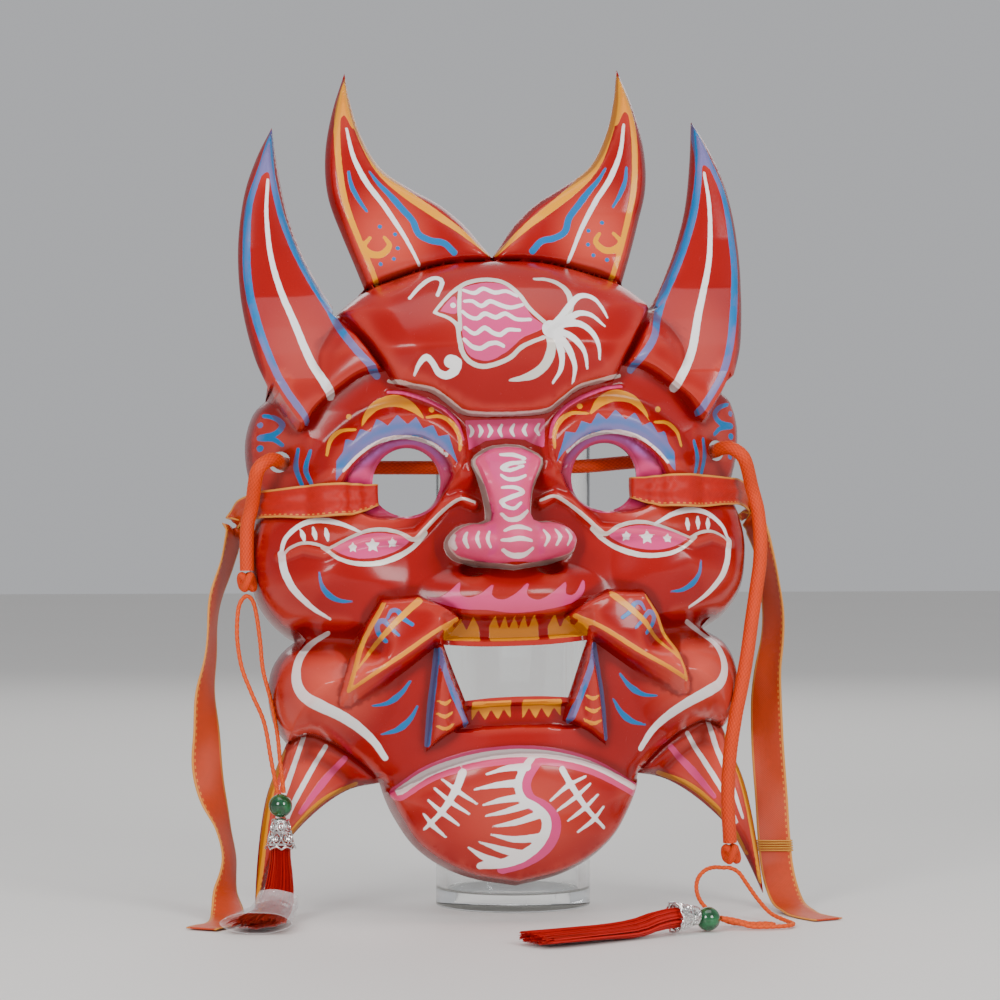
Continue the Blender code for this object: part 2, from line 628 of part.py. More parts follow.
# How the cord passes an ear hole: outwards, up and forwards from the middle of the hole
CORD_OUT = [(0.0014, 0.0004, 0.0040), (0.0042, 0.0, 0.0076), (0.0084, -0.0040, 0.0090)]
CORD_IN = [(-0.0014, -0.0002, -0.0038), (-0.0055, -0.0007, -0.0072), (-0.0130, -0.0013, -0.0088)]
KNOT_LEFT = (-0.0980, -0.0318, 0.1180)
KNOT_RIGHT = (0.0726, -0.0412, 0.0215)
TASSEL_CORD_LEFT = [(-0.0876, -0.0370, 0.0444), (-0.0898, -0.0370, 0.0560), (-0.0922, -0.0358, 0.0690),
                    (-0.0964, -0.0342, 0.0790), (-0.0998, -0.0330, 0.0880), (-0.1014, -0.0324, 0.0980),
                    (-0.1012, -0.0320, 0.1070), (-0.1001, -0.0318, 0.1112), (-0.0980, -0.0318, 0.1131),
                    (-0.0959, -0.0318, 0.1112), (-0.0946, -0.0321, 0.1060), (-0.0934, -0.0326, 0.0970),
                    (-0.0924, -0.0336, 0.0870), (-0.0896, -0.0345, 0.0760), (-0.0876, -0.0360, 0.0650),
                    (-0.0866, -0.0369, 0.0550), (-0.0853, -0.0370, 0.0444)]
TASSEL_CORD_RIGHT = [(0.0606, -0.0850, 0.0045), (0.0660, -0.0840, 0.0030), (0.0710, -0.0842, 0.0014),
                     (0.0770, -0.0846, 0.0012), (0.0835, -0.0832, 0.0012), (0.0872, -0.0780, 0.0012),
                     (0.0862, -0.0705, 0.0014), (0.0825, -0.0630, 0.0030), (0.0795, -0.0560, 0.0068),
                     (0.0768, -0.0492, 0.0116), (0.0748, -0.0442, 0.0152), (0.0722, -0.0420, 0.0166),
                     (0.0694, -0.0424, 0.0168), (0.0658, -0.0446, 0.0172), (0.0620, -0.0480, 0.0166),
                     (0.0587, -0.0522, 0.0142), (0.0572, -0.0577, 0.0108), (0.0578, -0.0640, 0.0072),
                     (0.0612, -0.0700, 0.0036), (0.0665, -0.0742, 0.0014), (0.0725, -0.0757, 0.0012),
                     (0.0775, -0.0757, 0.0012), (0.0803, -0.0780, 0.0012), (0.0780, -0.0806, 0.0012),
                     (0.0720, -0.0808, 0.0018), (0.0655, -0.0810, 0.0034), (0.0597, -0.0830, 0.0045)]
BEAD_LEFT = (-0.0865, -0.0370, 0.0400)
BEAD_RIGHT = (0.0560, -0.0860)
RIGHT_TASSEL_HEADING = 206.0
# The left skirt's path below its cap: sideways, forwards and the share of the drop to the table
SKIRT_LEFT_BEND = [(0, 0, 0.0), (0, 0, 0.44), (-0.0006, 0.0012, 0.78), (-0.0022, 0.0058, 0.95),
                   (-0.0046, 0.0142, 1.0), (-0.0078, 0.0262, 1.0), (-0.0108, 0.0400, 1.0)]
# The right skirt sinks on to the table: the share of its length before that, and the share it takes
SKIRT_RIGHT_SINKS = (0.05, 0.3)
# Half width of a skirt and half its thickness at shares of its length, below the neck in its cap
SKIRT_NECK_SHARE = 0.08
SKIRT_HALF_WIDTHS = [(0.35, 0.0056), (0.7, 0.0078), (1.0, SKIRT_SPREAD / 2)]
SKIRT_HALF_DEPTHS = [(0.3, 0.0034), (0.5, SKIRT_THICKNESS / 2), (1.0, SKIRT_THICKNESS / 2)]
# The bell of a tassel's cap: share of its height with its radius
CAP_WAIST = 0.78
CAP_BELL = [(0.0, CAP_MOUTH_DIAMETER / 2), (0.18, CAP_MOUTH_DIAMETER / 2 * 0.88),
            (0.45, CAP_MOUTH_DIAMETER / 2 * CAP_WAIST), (0.8, CAP_TOP_DIAMETER / 2 * 1.05),
            (1.0, CAP_TOP_DIAMETER / 2 * 0.86)]

# Ribbon stations: across the face in mask units (u, v, share of full width, lift over the face), round
# the mask's edge (u, v, share, h), then free (x, y, z, turn in degrees) beside a mask at DRAWN_UNIT metres
# a unit whose middle is DRAWN_MIDDLE over the table; on a larger mask they stand further out
DRAWN_UNIT = 0.001
DRAWN_MIDDLE = 0.15676
RIBBON_HOLE = [(38.5, -8.8, 0.5, -9.0), (40.4, -9.0, 0.55, -4.5), (42.2, -9.4, 0.6, 0.9)]
RIBBON_FACE = [(44.5, -9.8, 0.66, 0.7), (50.0, -10.6, 0.8, 0.5), (55.0, -11.2, 0.95, 0.4),
               (66.0, -11.3, 1.0, 0.4), (72.0, -11.2, 0.95, 0.4), (78.0, -11.0, 0.85, 0.4),
               (84.5, -10.8, 0.8, 0.4)]
RIBBON_FACE_STEPS = 16
RIBBON_WRAP = [(88.8, -11.2, 0.78, 6.5), (91.6, -12.5, 0.78, 0.8), (92.8, -15.0, 0.8, -4.0)]
RIBBON_LEFT_FALL = [(-0.1020, -0.0150, 0.1335, 60), (-0.1048, -0.0170, 0.1240, 64),
                    (-0.1080, -0.0190, 0.1130, 66), (-0.1098, -0.0200, 0.1010, 72),
                    (-0.1108, -0.0205, 0.0890, 66), (-0.1120, -0.0208, 0.0770, 52),
                    (-0.1120, -0.0210, 0.0650, 38), (-0.1115, -0.0212, 0.0530, 24),
                    (-0.1095, -0.0215, 0.0420, 36), (-0.1062, -0.0220, 0.0310, 62),
                    (-0.1035, -0.0228, 0.0200, 64)]
RIBBON_RIGHT_FALL = [(0.0868, -0.0150, 0.1370, 62), (0.0892, -0.0165, 0.1280, 66),
                     (0.0915, -0.0175, 0.1180, 66), (0.0925, -0.0180, 0.1080, 62),
                     (0.0920, -0.0180, 0.0960, 58), (0.0908, -0.0180, 0.0850, 48),
                     (0.0900, -0.0182, 0.0740, 32), (0.0902, -0.0188, 0.0620, 22),
                     (0.0908, -0.0195, 0.0500, 14), (0.0916, -0.0202, 0.0380, 8),
                     (0.0922, -0.0208, 0.0260, 6), (0.0932, -0.0216, 0.0150, 6)]
# Where each ribbon turns on to the table and runs out: x, y, height over the table, turn
RIBBON_LEFT_TAIL = [(-0.1050, -0.0262, 0.0085, 48), (-0.1048, -0.0335, 0.0022, 26),
                    (-0.1058, -0.0430, 0.0004, 6), (-0.1090, -0.0535, 0, -16), (-0.1150, -0.0630, 0, -30)]
RIBBON_RIGHT_TAIL = [(0.0942, -0.0262, 0.0070, 4), (0.0952, -0.0340, 0.0018, 0),
                     (0.0965, -0.0440, 0.0004, 0), (0.0990, -0.0540, 0, 8), (0.1030, -0.0630, 0, 20)]
RIBBON_STATION = 0.008
BAND_Z = 0.0222


def ribbon_strip(side, fall, tail, lines, origin):
    """Middle, sideways direction and width of a ribbon from the eye, over the cheek and down."""
    up = mask_axes()[1]
    lift = (FIT_GAP + RIBBON_THICKNESS / 2) / unit()
    face = np.array(RIBBON_FACE).T
    across = np.linspace(face[0, 0], face[0, -1], RIBBON_FACE_STEPS)
    rows = RIBBON_HOLE + [(u, *(np.interp(u, face[0], column) for column in face[1:])) for u in across]
    heights = []
    for u, v, share, over in rows:
        half = share * RIBBON_WIDTH / unit() / 2
        near_u, near_v = np.meshgrid(side * (u + np.linspace(-1.5, 1.5, 4)), v + half * np.linspace(-1, 1, 7))
        heights.append(relief(near_u, near_v, lines).max() + lift + over)
    stations = []
    for (u, v, share, _), height in zip(rows, heights):
        stations.append((*placed(origin, [side * u], [v], [height])[0], *up, share * RIBBON_WIDTH))
    for u, v, share, height in RIBBON_WRAP:
        stations.append((*placed(origin, [side * u], [v], [height])[0], *up, share * RIBBON_WIDTH))
    down = FLOOR_GAP + RIBBON_THICKNESS / 2
    grown = unit() / DRAWN_UNIT
    lowered = origin[2] / DRAWN_MIDDLE
    loose = [(x, y, z * lowered, turn) for x, y, z, turn in fall]
    loose += [(x, y, down + z, turn) for x, y, z, turn in tail]
    for x, y, z, turn in loose:
        angle = math.radians(turn)
        out = MASK_OFFSET_X + (x - MASK_OFFSET_X) * grown
        forward = MASK_OFFSET_Y + (y - MASK_OFFSET_Y) * grown
        stations.append((out, forward, z, -side * math.cos(angle), math.sin(angle), 0, RIBBON_WIDTH))
    return spline(stations, RIBBON_STATION)


def make_ribbon(name, strip, finish):
    shape = lofted(strip_rings(strip[:, :3], strip[:, 3:6], strip[:, 6], RIBBON_THICKNESS))
    bmesh.ops.triangulate(shape, faces=shape.faces[:])
    return mesh_object(name, shape, finish)


def sleeve(outer, inner):
    """A tube with a wall, open at both ends, from its outer and inner rings."""
    shape = bmesh.new()
    loops = [[shape.verts.new(p) for p in ring] for ring in list(outer) + list(inner)[::-1]]
    for lower, upper in zip(loops, loops[1:] + loops[:1]):
        for i in range(len(lower)):
            j = (i + 1) % len(lower)
            shape.faces.new((lower[i], lower[j], upper[j], upper[i]))
    bmesh.ops.recalc_face_normals(shape, faces=shape.faces[:])
    bmesh.ops.triangulate(shape, faces=shape.faces[:])
    return shape


def make_ribbon_band(strip, finish):
    """A narrow band of gold thread round the right ribbon."""
    free = strip[(strip[:, 2] < 2 * BAND_Z) & (strip[:, 2] > BAND_Z / 2)]
    heights = BAND_Z + np.array([0.5, -0.5]) * BAND_HEIGHT
    order = np.argsort(free[:, 2])
    rows = np.array([[np.interp(z, free[order, 2], column[order]) for column in free.T] for z in heights])
    rings = []
    for extra in (FIT_GAP + BAND_WALL, FIT_GAP):
        widths = rows[:, 6] + 2 * extra
        rings.append(strip_rings(rows[:, :3], rows[:, 3:6], widths, RIBBON_THICKNESS + 2 * extra))
    return mesh_object("ribbon_band_right", sleeve(*rings), finish)


def make_turned(name, profile, sides, place, axis, finish):
    """A turned piece with its own axis laid along a direction."""
    shape = turned(profile, sides)
    turn = Vector((0, 0, 1)).rotation_difference(Vector(axis)).to_matrix()
    bmesh.ops.rotate(shape, verts=shape.verts[:], cent=(0, 0, 0), matrix=turn)
    bmesh.ops.translate(shape, verts=shape.verts[:], vec=place)
    return mesh_object(name, shape, finish, math.radians(50))


def ball_profile(radius, half_height, steps=6):
    angles = [-math.pi / 2 + math.pi * i / steps for i in range(steps + 1)]
    return [(abs(radius * math.cos(a)) if 0 < i < steps else 0, half_height * math.sin(a))
            for i, a in enumerate(angles)]


def cap_profile():
    """Bell of a tassel from its mouth at height 0 to its closed crown, inside and out."""
    outer = [(r, share * CAP_HEIGHT) for share, r in CAP_BELL]
    inner = [(r - CAP_WALL, min(z, CAP_HEIGHT - CAP_WALL)) for r, z in outer]
    return [(0, CAP_HEIGHT)] + outer[::-1] + inner + [(0, CAP_HEIGHT - CAP_WALL)]


def skirt_radii(share):
    """Half width and half thickness of a tassel's skirt along its length."""
    neck = [(SKIRT_NECK_SHARE, CAP_MOUTH_DIAMETER / 2 * CAP_WAIST - CAP_WALL - FIT_GAP)]
    return by_height(share, neck + SKIRT_HALF_WIDTHS), by_height(share, neck + SKIRT_HALF_DEPTHS)


def oval_rings(route, side, shares, extra):
    """Oval rings square to a route; the extra is added to each radius."""
    across, normals = frames_along(route, [side] * len(route))
    rings = []
    for middle, right, normal, share in zip(route, across, normals, shares):
        wide, deep = skirt_radii(share)
        angles = np.arange(SKIRT_SIDES) * WHOLE_TURN / SKIRT_SIDES
        rings.append([middle + right * (wide + extra) * math.cos(a) + normal * (deep + extra) * math.sin(a)
                      for a in angles])
    return rings


def shares_along(route):
    """Share of a route's length at each of its points."""
    lengths = np.concatenate([[0], np.cumsum(np.linalg.norm(np.diff(route, axis=0), axis=1))])
    return lengths / lengths[-1]


def make_skirt(name, route, side, finish):
    """The bundle of silk threads as one solid, narrow in its cap and spread where it lies."""
    shape = lofted(oval_rings(route, side, shares_along(route), 0))
    bmesh.ops.triangulate(shape, faces=shape.faces[:])
    return mesh_object(name, shape, finish)


def make_tassels(finishes):
    """Bead, cap and skirt of the hanging left tassel and of the right one, which lies on the table."""
    bead, cap, silk, film = finishes
    ball = ball_profile(BEAD_DIAMETER / 2, BEAD_DIAMETER / 2)
    crown_below = BEAD_DIAMETER / 2 + FIT_GAP + CAP_HEIGHT
    film_lift = FLOOR_GAP + FILM_WALL + FILM_GAP

    make_turned("jade_bead_left", ball, BEAD_SIDES, BEAD_LEFT, (0, 0, 1), bead)
    mouth = np.array(BEAD_LEFT) - (0, 0, crown_below)
    make_turned("silver_cap_left", cap_profile(), CAP_SIDES, tuple(mouth), (0, 0, 1), cap)
    top = mouth[2] + CAP_INSERT
    flat = SKIRT_THICKNESS / 2 + film_lift
    route = [(mouth[0] + x, mouth[1] - y, top - drop * (top - flat)) for x, y, drop in SKIRT_LEFT_BEND]
    route = spline(route, SKIRT_STATION)
    make_skirt("tassel_left", route, (1, 0, 0), silk)
    start = int(len(route) * FILM_FROM)
    shares = shares_along(route)
    offsets = (FILM_GAP + FILM_WALL, FILM_GAP)
    rings = [oval_rings(route, (1, 0, 0), shares, offset)[start:] for offset in offsets]
    mesh_object("film_sleeve_left", sleeve(*rings), film)

    heading = math.radians(RIGHT_TASSEL_HEADING)
    ahead = np.array([math.cos(heading), math.sin(heading), 0])
    bead_middle = np.array([*BEAD_RIGHT, BEAD_DIAMETER / 2 + FLOOR_GAP])
    make_turned("jade_bead_right", ball, BEAD_SIDES, tuple(bead_middle), tuple(-ahead), bead)
    cap_mouth = bead_middle + ahead * crown_below
    cap_mouth[2] = CAP_MOUTH_DIAMETER / 2 + FLOOR_GAP
    make_turned("silver_cap_right", cap_profile(), CAP_SIDES, tuple(cap_mouth), tuple(-ahead), cap)
    low = SKIRT_THICKNESS / 2 + FLOOR_GAP
    route = []
    before, over = SKIRT_RIGHT_SINKS
    for share in np.linspace(0, 1, 8):
        height = cap_mouth[2] + (low - cap_mouth[2]) * float(rise(share - before, over))
        along = share * SKIRT_LENGTH - CAP_INSERT
        route.append(cap_mouth * (1, 1, 0) + ahead * along + np.array([0, 0, height]))
    make_skirt("tassel_right", spline(route, SKIRT_STATION), (-ahead[1], ahead[0], 0), silk)


def ear_hole_points(side, lines, origin):
    """The cord's points through one ear hole, from in front of the mask to behind it."""
    right, up, out = mask_axes()
    u, v = side * EAR_HOLE_CENTRE[0], EAR_HOLE_CENTRE[1]
    around = circle((u, v), (CORD_DIAMETER / 2 + CORD_CLEARANCE) / unit(), EAR_HOLE_SIDES)
    h = relief(around[:, 0], around[:, 1], lines).mean() - SHELL_WALL / unit() / 2
    middle = placed(origin, [u], [v], [h])[0]
    steps = CORD_OUT[::-1] + [(0, 0, 0)] + CORD_IN
    return [tuple(middle + right * side * a + up * b + out * c) for a, b, c in steps]


def make_cords(lines, origin, finishes):
    """The thick cord through both ears, its knots and the thin cords that carry the tassels."""
    cord, knot, thin = finishes
    route = CORD_LEFT + ear_hole_points(-1, lines, origin) + CORD_BEHIND
    route += ear_hole_points(1, lines, origin)[::-1] + CORD_RIGHT
    make_cord("face_cord", route, CORD_DIAMETER, cord, CORD_DIAMETER * 2.4)
    knot_shape = ball_profile(KNOT_DIAMETER / 2, KNOT_DIAMETER / 2 * 0.85, 5)
    make_turned("cord_knot_left", knot_shape, KNOT_SIDES, KNOT_LEFT, (0, 0, 1), knot)
    make_turned("cord_knot_right", knot_shape, KNOT_SIDES, KNOT_RIGHT, (0, 0, 1), knot)
    make_cord("tassel_cord_left", TASSEL_CORD_LEFT, TASSEL_CORD_DIAMETER, thin, TASSEL_CORD_DIAMETER * 3)
    make_cord("tassel_cord_right", TASSEL_CORD_RIGHT, TASSEL_CORD_DIAMETER, thin, TASSEL_CORD_DIAMETER * 3)


def main():
    for piece in list(bpy.data.objects):
        bpy.data.objects.remove(piece)
    lines = mask_outlines()
    back = back_sheet(lines)
    origin = mask_origin(back)
    make_mask_shell(front_sheet(lines), back, origin)
    make_stand()

    orange = material("orange_cord", (0.85, 0.10, 0.02), 0.6)
    thread = material("orange_thread", (0.90, 0.16, 0.03), 0.6)
    make_cords(lines, origin, (orange, orange, thread))
    silk = material("red_silk", (0.62, 0.01, 0.01), 0.45)
    jade = material("green_jade", (0.01, 0.16, 0.04), 0.12)
    silver = material("silver", (0.80, 0.80, 0.80), 0.25, metallic=1.0)
    film = material("clear_film", (0.95, 0.92, 0.92), 0.1, transmission=1.0)
    make_tassels((jade, silver, silk, film))

    satin = material("red_satin", (0.80, 0.05, 0.01), 0.4)
    make_ribbon("ribbon_left", ribbon_strip(-1, RIBBON_LEFT_FALL, RIBBON_LEFT_TAIL, lines, origin), satin)
    right = ribbon_strip(1, RIBBON_RIGHT_FALL, RIBBON_RIGHT_TAIL, lines, origin)
    make_ribbon("ribbon_right", right, satin)
    make_ribbon_band(right, material("gold_thread", (0.85, 0.50, 0.08), 0.45))


main()
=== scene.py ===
"""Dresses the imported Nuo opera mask, its clear stand, cord, ribbons and tassels.

The mask is drawn on a grid of mask units, one unit being a millimetre on a mask MASK_SPAN units
tall: u runs to the viewer's right, v runs up from the eye line and h runs out to the viewer.
Painted ornament is written on the same grid as brush strokes and filled outlines, and is kept on
the mesh as the depth of each point within each colour. World axes: +Z up, the mask faces -Y.
"""

from contextlib import contextmanager
import math

import bmesh
import bpy
import numpy as np
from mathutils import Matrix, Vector, geometry


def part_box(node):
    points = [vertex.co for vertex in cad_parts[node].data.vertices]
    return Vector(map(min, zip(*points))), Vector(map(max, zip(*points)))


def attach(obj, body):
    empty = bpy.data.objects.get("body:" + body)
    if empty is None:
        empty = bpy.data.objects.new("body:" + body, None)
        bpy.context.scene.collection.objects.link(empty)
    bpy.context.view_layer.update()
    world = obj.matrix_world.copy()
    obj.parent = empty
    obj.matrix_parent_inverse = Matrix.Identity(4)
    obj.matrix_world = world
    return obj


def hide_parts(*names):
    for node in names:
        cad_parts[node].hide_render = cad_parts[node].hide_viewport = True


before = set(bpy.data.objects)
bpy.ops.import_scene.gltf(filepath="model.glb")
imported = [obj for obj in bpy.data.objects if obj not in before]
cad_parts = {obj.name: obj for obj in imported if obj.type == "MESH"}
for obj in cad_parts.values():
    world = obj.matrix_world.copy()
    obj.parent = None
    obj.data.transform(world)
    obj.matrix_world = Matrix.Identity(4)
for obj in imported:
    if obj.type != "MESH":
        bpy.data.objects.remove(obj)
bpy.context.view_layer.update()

bl_info = {
    "name": "Nuo opera mask",
    "version": (1, 0, 0),
    "blender": (4, 5, 0),
    "location": "3D View > Sidebar > Nuo mask",
    "description": "Dresses a moulded opera mask on its clear stand, with cord, ribbons and tassels",
    "category": "Object",
}

BODY = "root"
WHOLE_TURN = 2.0 * math.pi

# Driving dimensions, in metres, as in the frame
MASK_HEIGHT = 0.2985
SHELL_WALL = 0.0018
STAND_TUBE_WALL = 0.004
STAND_FLOOR = 0.006
MASK_ORIGIN = (-0.0085, -0.0140, 0.15676)
CORD_DIAMETER = 0.005
CORD_CLEARANCE = 0.0011
TASSEL_CORD_DIAMETER = 0.0016
BEAD_DIAMETER = 0.0082
CAP_HEIGHT = 0.011
CAP_TOP_DIAMETER = 0.0066
CAP_MOUTH_DIAMETER = 0.0112
CAP_WALL = 0.0007
SKIRT_LENGTH = 0.060
SKIRT_THICKNESS = 0.0055
SKIRT_SPREAD = 0.019
CAP_INSERT = 0.0025
RIBBON_WIDTH = 0.0118
RIBBON_THICKNESS = 0.0006
BAND_Z = 0.0222
FILM_GAP = 0.0009
FIT_GAP = 0.0003
FLOOR_GAP = 0.0003

# Attitude of the mask on its stand, in degrees
MASK_ROLL = 1.6
MASK_LEAN = 5.0

# Mesh fineness, in mask units
FRONT_SPACING = 0.76
BACK_SPACING = 2.4
BACK_REACH = 2.4
OUTLINE_SPACING = 2.2
CREASE_REACH = 1.3
GRID_HALF_WIDTH = 96.0
GRID_MARGIN = 8.0
GRID_CLEARANCE = 0.52
BACK_DIRECTIONS = 8
EYE_HOLE_SIDES = 48
EAR_HOLE_SIDES = 20
FAR = 50.0
TINY = 1e-12
INSET_KEEPS = 0.85

# The mask's half outlines in mask units, for the right-hand side, from the notch between the horns
MASK_SPAN = 298.5
INNER_HORN_EDGE = [(0, 75), (4, 80.5), (10, 88.5), (18, 95.5), (28, 101.5), (38, 109), (44.5, 121),
    (48, 134), (49.5, 144.5)]
INNER_HORN_BACK = [(49.5, 144.5), (54.5, 130), (57.5, 115), (57.3, 100), (53, 85), (46, 64.5)]
HAIRLINE = [(46, 64.5), (51.5, 60.5), (56.5, 56.5)]
OUTER_HORN_EDGE = [(56.5, 56.5), (62, 66.5), (67.5, 79), (72, 93.5), (74.7, 110), (76.2, 125)]
OUTER_HORN_BACK = [(76.2, 125), (82, 114), (87, 100), (89.8, 81), (89.5, 61), (86.3, 41), (81.5, 27)]
EAR = [(81.5, 27), (86, 22.5), (88.8, 14), (88.8, 5), (87, -3), (84, -9.5)]
CHEEK = [(84, -9.5), (87, -17), (89, -27), (88.6, -36), (86.5, -45), (82, -52), (77, -56.5), (73.5, -58.5)]
JAW = [(73.5, -58.5), (78.5, -62.5), (82.2, -68), (83.8, -75), (83.6, -82), (81.8, -89), (78, -94.5)]
FIN_EDGE = [(78, -94.5), (81.5, -102.5), (85.5, -113), (88, -125), (89.8, -139), (91, -154)]
FIN_UNDER = [(91, -154), (86, -142), (80.5, -131.5), (73.5, -123.5), (64.5, -116), (55.5, -111.2),
    (46, -109.5)]
CHIN = [(46, -109.5), (44.5, -115), (41.5, -122), (35.5, -131.5), (26.5, -139), (15, -144.2), (0, -147.3)]
SILHOUETTE = [INNER_HORN_EDGE, INNER_HORN_BACK, HAIRLINE, OUTER_HORN_EDGE, OUTER_HORN_BACK, EAR, CHEEK,
              JAW, FIN_EDGE, FIN_UNDER, CHIN]

# Half outlines of the forms inside the mask
CROWN = [(0, 74.5), (15, 73.8), (26, 71.5), (36, 68.3), (46, 64.5), (56.5, 56.5)]
TEMPLE = [(56.5, 56.5), (69, 44), (81.5, 27)]
JAW_UNDER = [(78, -94.5), (71, -92), (64, -94.5), (57, -99), (51, -104), (46, -109.5)]
HORN_SEAT = [(81.5, 27), (77, 19.5), (71, 13), (64.5, 20.5), (57, 26.5), (49.5, 31), (41.5, 32.5)]
HORN_ROOT = [(41.5, 32.5), (50, 46.5), (56.5, 56.5)]
BROW_EDGE = [(41.5, 32.5), (38, 27), (33, 26.3), (25.5, 24), (19, 19.5), (14.5, 16.6), (8, 15.7), (0, 15.5)]
EYE_TOP = [(58.5, -6.5), (55.5, -1), (50.5, 4), (43.5, 8.7), (35.5, 10.3), (29, 9.6), (23.5, 6),
    (19.8, 1.5), (18, -4)]
EYE_LOW = [(18, -4), (20.5, -9), (24.5, -13.5), (29, -16.8), (36.5, -18.6), (44, -18.8), (51.5, -16),
    (58.5, -6.5)]
NOSE = [(0, 6.5), (6.5, 5.5), (12.5, 1), (10.8, -5), (8.8, -11), (8.2, -20), (13.5, -20.8), (18.5, -22.3),
    (22, -25.5), (23, -29.5), (20.5, -33.5), (15, -35.5), (8, -36.8), (0, -38)]
TUSK = [[(17.5, -54.5), (24, -50), (33, -45.3)], [(33, -45.3), (46, -46.3)], [(46, -46.3), (52.5, -56),
    (57.5, -67), (61.3, -79)], [(61.3, -79), (61, -83), (57, -83.2)], [(57, -83.2), (41, -73.5),
    (25, -61.5), (17.5, -54.5)]]
TUSK_TOP = [[(20.5, -54.2), (26, -50.3), (33.5, -47.2)], [(33.5, -47.2), (44.8, -48.2)], [(44.8, -48.2),
    (51, -57.5), (55.5, -67), (58.2, -77.5)], [(58.2, -77.5), (40.5, -68.3), (20.5, -54.2)]]
FANG = [[(26.5, -61), (21, -76), (16, -90.5)], [(16, -90.5), (24, -94), (31.5, -99.5)], [(31.5, -99.5),
    (29.5, -80), (26.5, -61)]]
MOUTH = [(0, -64.2), (12, -64), (25, -63), (21.5, -73), (18, -82.5), (9, -81.8), (0, -81.6)]
CHIN_TOP = [(43, -112.5), (36.5, -109.6), (29, -106), (19, -102.9), (9, -101), (0, -100.5)]
CHEEK_RIDGE = [(11.5, -14.5), (17, -11.8), (22.5, -14), (27, -19.3), (32, -24.2), (41, -25), (50, -25.5),
    (58, -27.5), (65, -30), (72, -28), (79, -30)]
BROW_LINE = [(41, 25), (35.5, 24.5), (27.5, 21.8), (21.5, 18.5), (17.3, 14), (15.6, 8), (15.6, 2), (18, -4)]
EYE_HOLE_CENTRE = (34.8, -5.7)
EYE_HOLE_RADIUS = 11.8
EAR_HOLE_CENTRE = (77.9, 4)

# The rise of the relief, in mask units
RIM_PROFILE = [(-147, 17), (-115, 13), (-95, 8), (-60, 6), (20, 6), (65, 10)]
FACE_PROFILE = [(-150, 24), (-130, 33), (-105, 38), (-80, 39), (-60, 40), (-40, 38), (-20, 34), (0, 32),
    (20, 38), (40, 45), (60, 44), (78, 38)]
FACE_ROUNDING = 46.0
OUTER_HORN_PROFILE = [(13, 37), (30, 36), (40, 31), (50, 25), (62, 19), (80, 14.5), (125, 9)]
INNER_HORN_PROFILE = [(64, 21), (74, 20), (90, 15), (144, 9)]
NOSE_PROFILE = [(-38, 17), (-28, 20), (-8, 12), (7, 5)]
FIN_HEIGHT = 4.0
FIN_SWELL = 1.5
FIN_ROUNDING = 5.0
FIN_FOOT = 8.0
FOREHEAD_STEP = 4.0
FOREHEAD_SWELL = 5.0
FOREHEAD_ROUNDING = 24.0
NOSE_STEP = 0.45
NOSE_SWELL = 0.55
NOSE_ROUNDING = 7.5
BROW_RISE = 6.0
BROW_WIDTH = 13.0
BROW_SLOPE = 9.0
BROW_FROM = -14.0
BROW_FULL_AFTER = 12.0
BROW_LINE_RISE = 1.2
LID_DROP = 4.0
SOCKET_DROP = 3.0
SOCKET_SLOPE = 7.0
CHEEK_RIDGE_RISE = 2.2
CHEEK_RIDGE_REACH = 3.0
JAW_GROOVE = [(74, -58.5), (60, -60), (50, -62)]
JAW_GROOVE_DEPTH = 6.0
JAW_GROOVE_REACH = 8.0
GUM_DROP = 2.5
GUM_WIDTH = 11.0
GUM_HALF = 27.0
GUM_SLOPE = 4.0
LIP_RISE = 3.0
LIP_WIDTH = 3.2
LIP_EDGE = 1.5
TUSK_RISE = 9.0
TUSK_SWELL = 1.5
TUSK_ROUNDING = 9.0
FANG_RISE = 6.0
FANG_SWELL = 2.5
FANG_ROUNDING = 7.0
CHIN_STEP = 4.0
CHIN_SWELL = 7.0
CHIN_ROUNDING = 24.0
HORN_LIFT = 4.5
HORN_CLIMB = 13.0
HORN_SWELL = 3.0
HORN_ROUNDING = 9.0
INNER_HORN_DIP = 1.5
INNER_HORN_SLOPE = 4.0
# Mounds and hollows of the relief: height, middle and radii
EAR_HOLLOW = (-7, (82, 4), (15, 22))
CHEEK_LOBE = (6, (62, -38), (27, 22))
JAW_LOBE = (7, (63, -78), (23, 19))
NOSE_TIP = (8, (0, -27.5), (11, 12))
NOSE_WING = (5, (14.8, -28.5), (8, 8))
NOSTRIL = (-6, (13.5, -37.2), (5.5, 3.2))
UPPER_LIP = (9, (0, -46), (34, 13))
PLATE_EDGE = 2.2
LID_EDGE = 1.6
RIM_TURN = 2.5
RIM_WIDTH = 3.0
EDGE_SLACK = 0.3

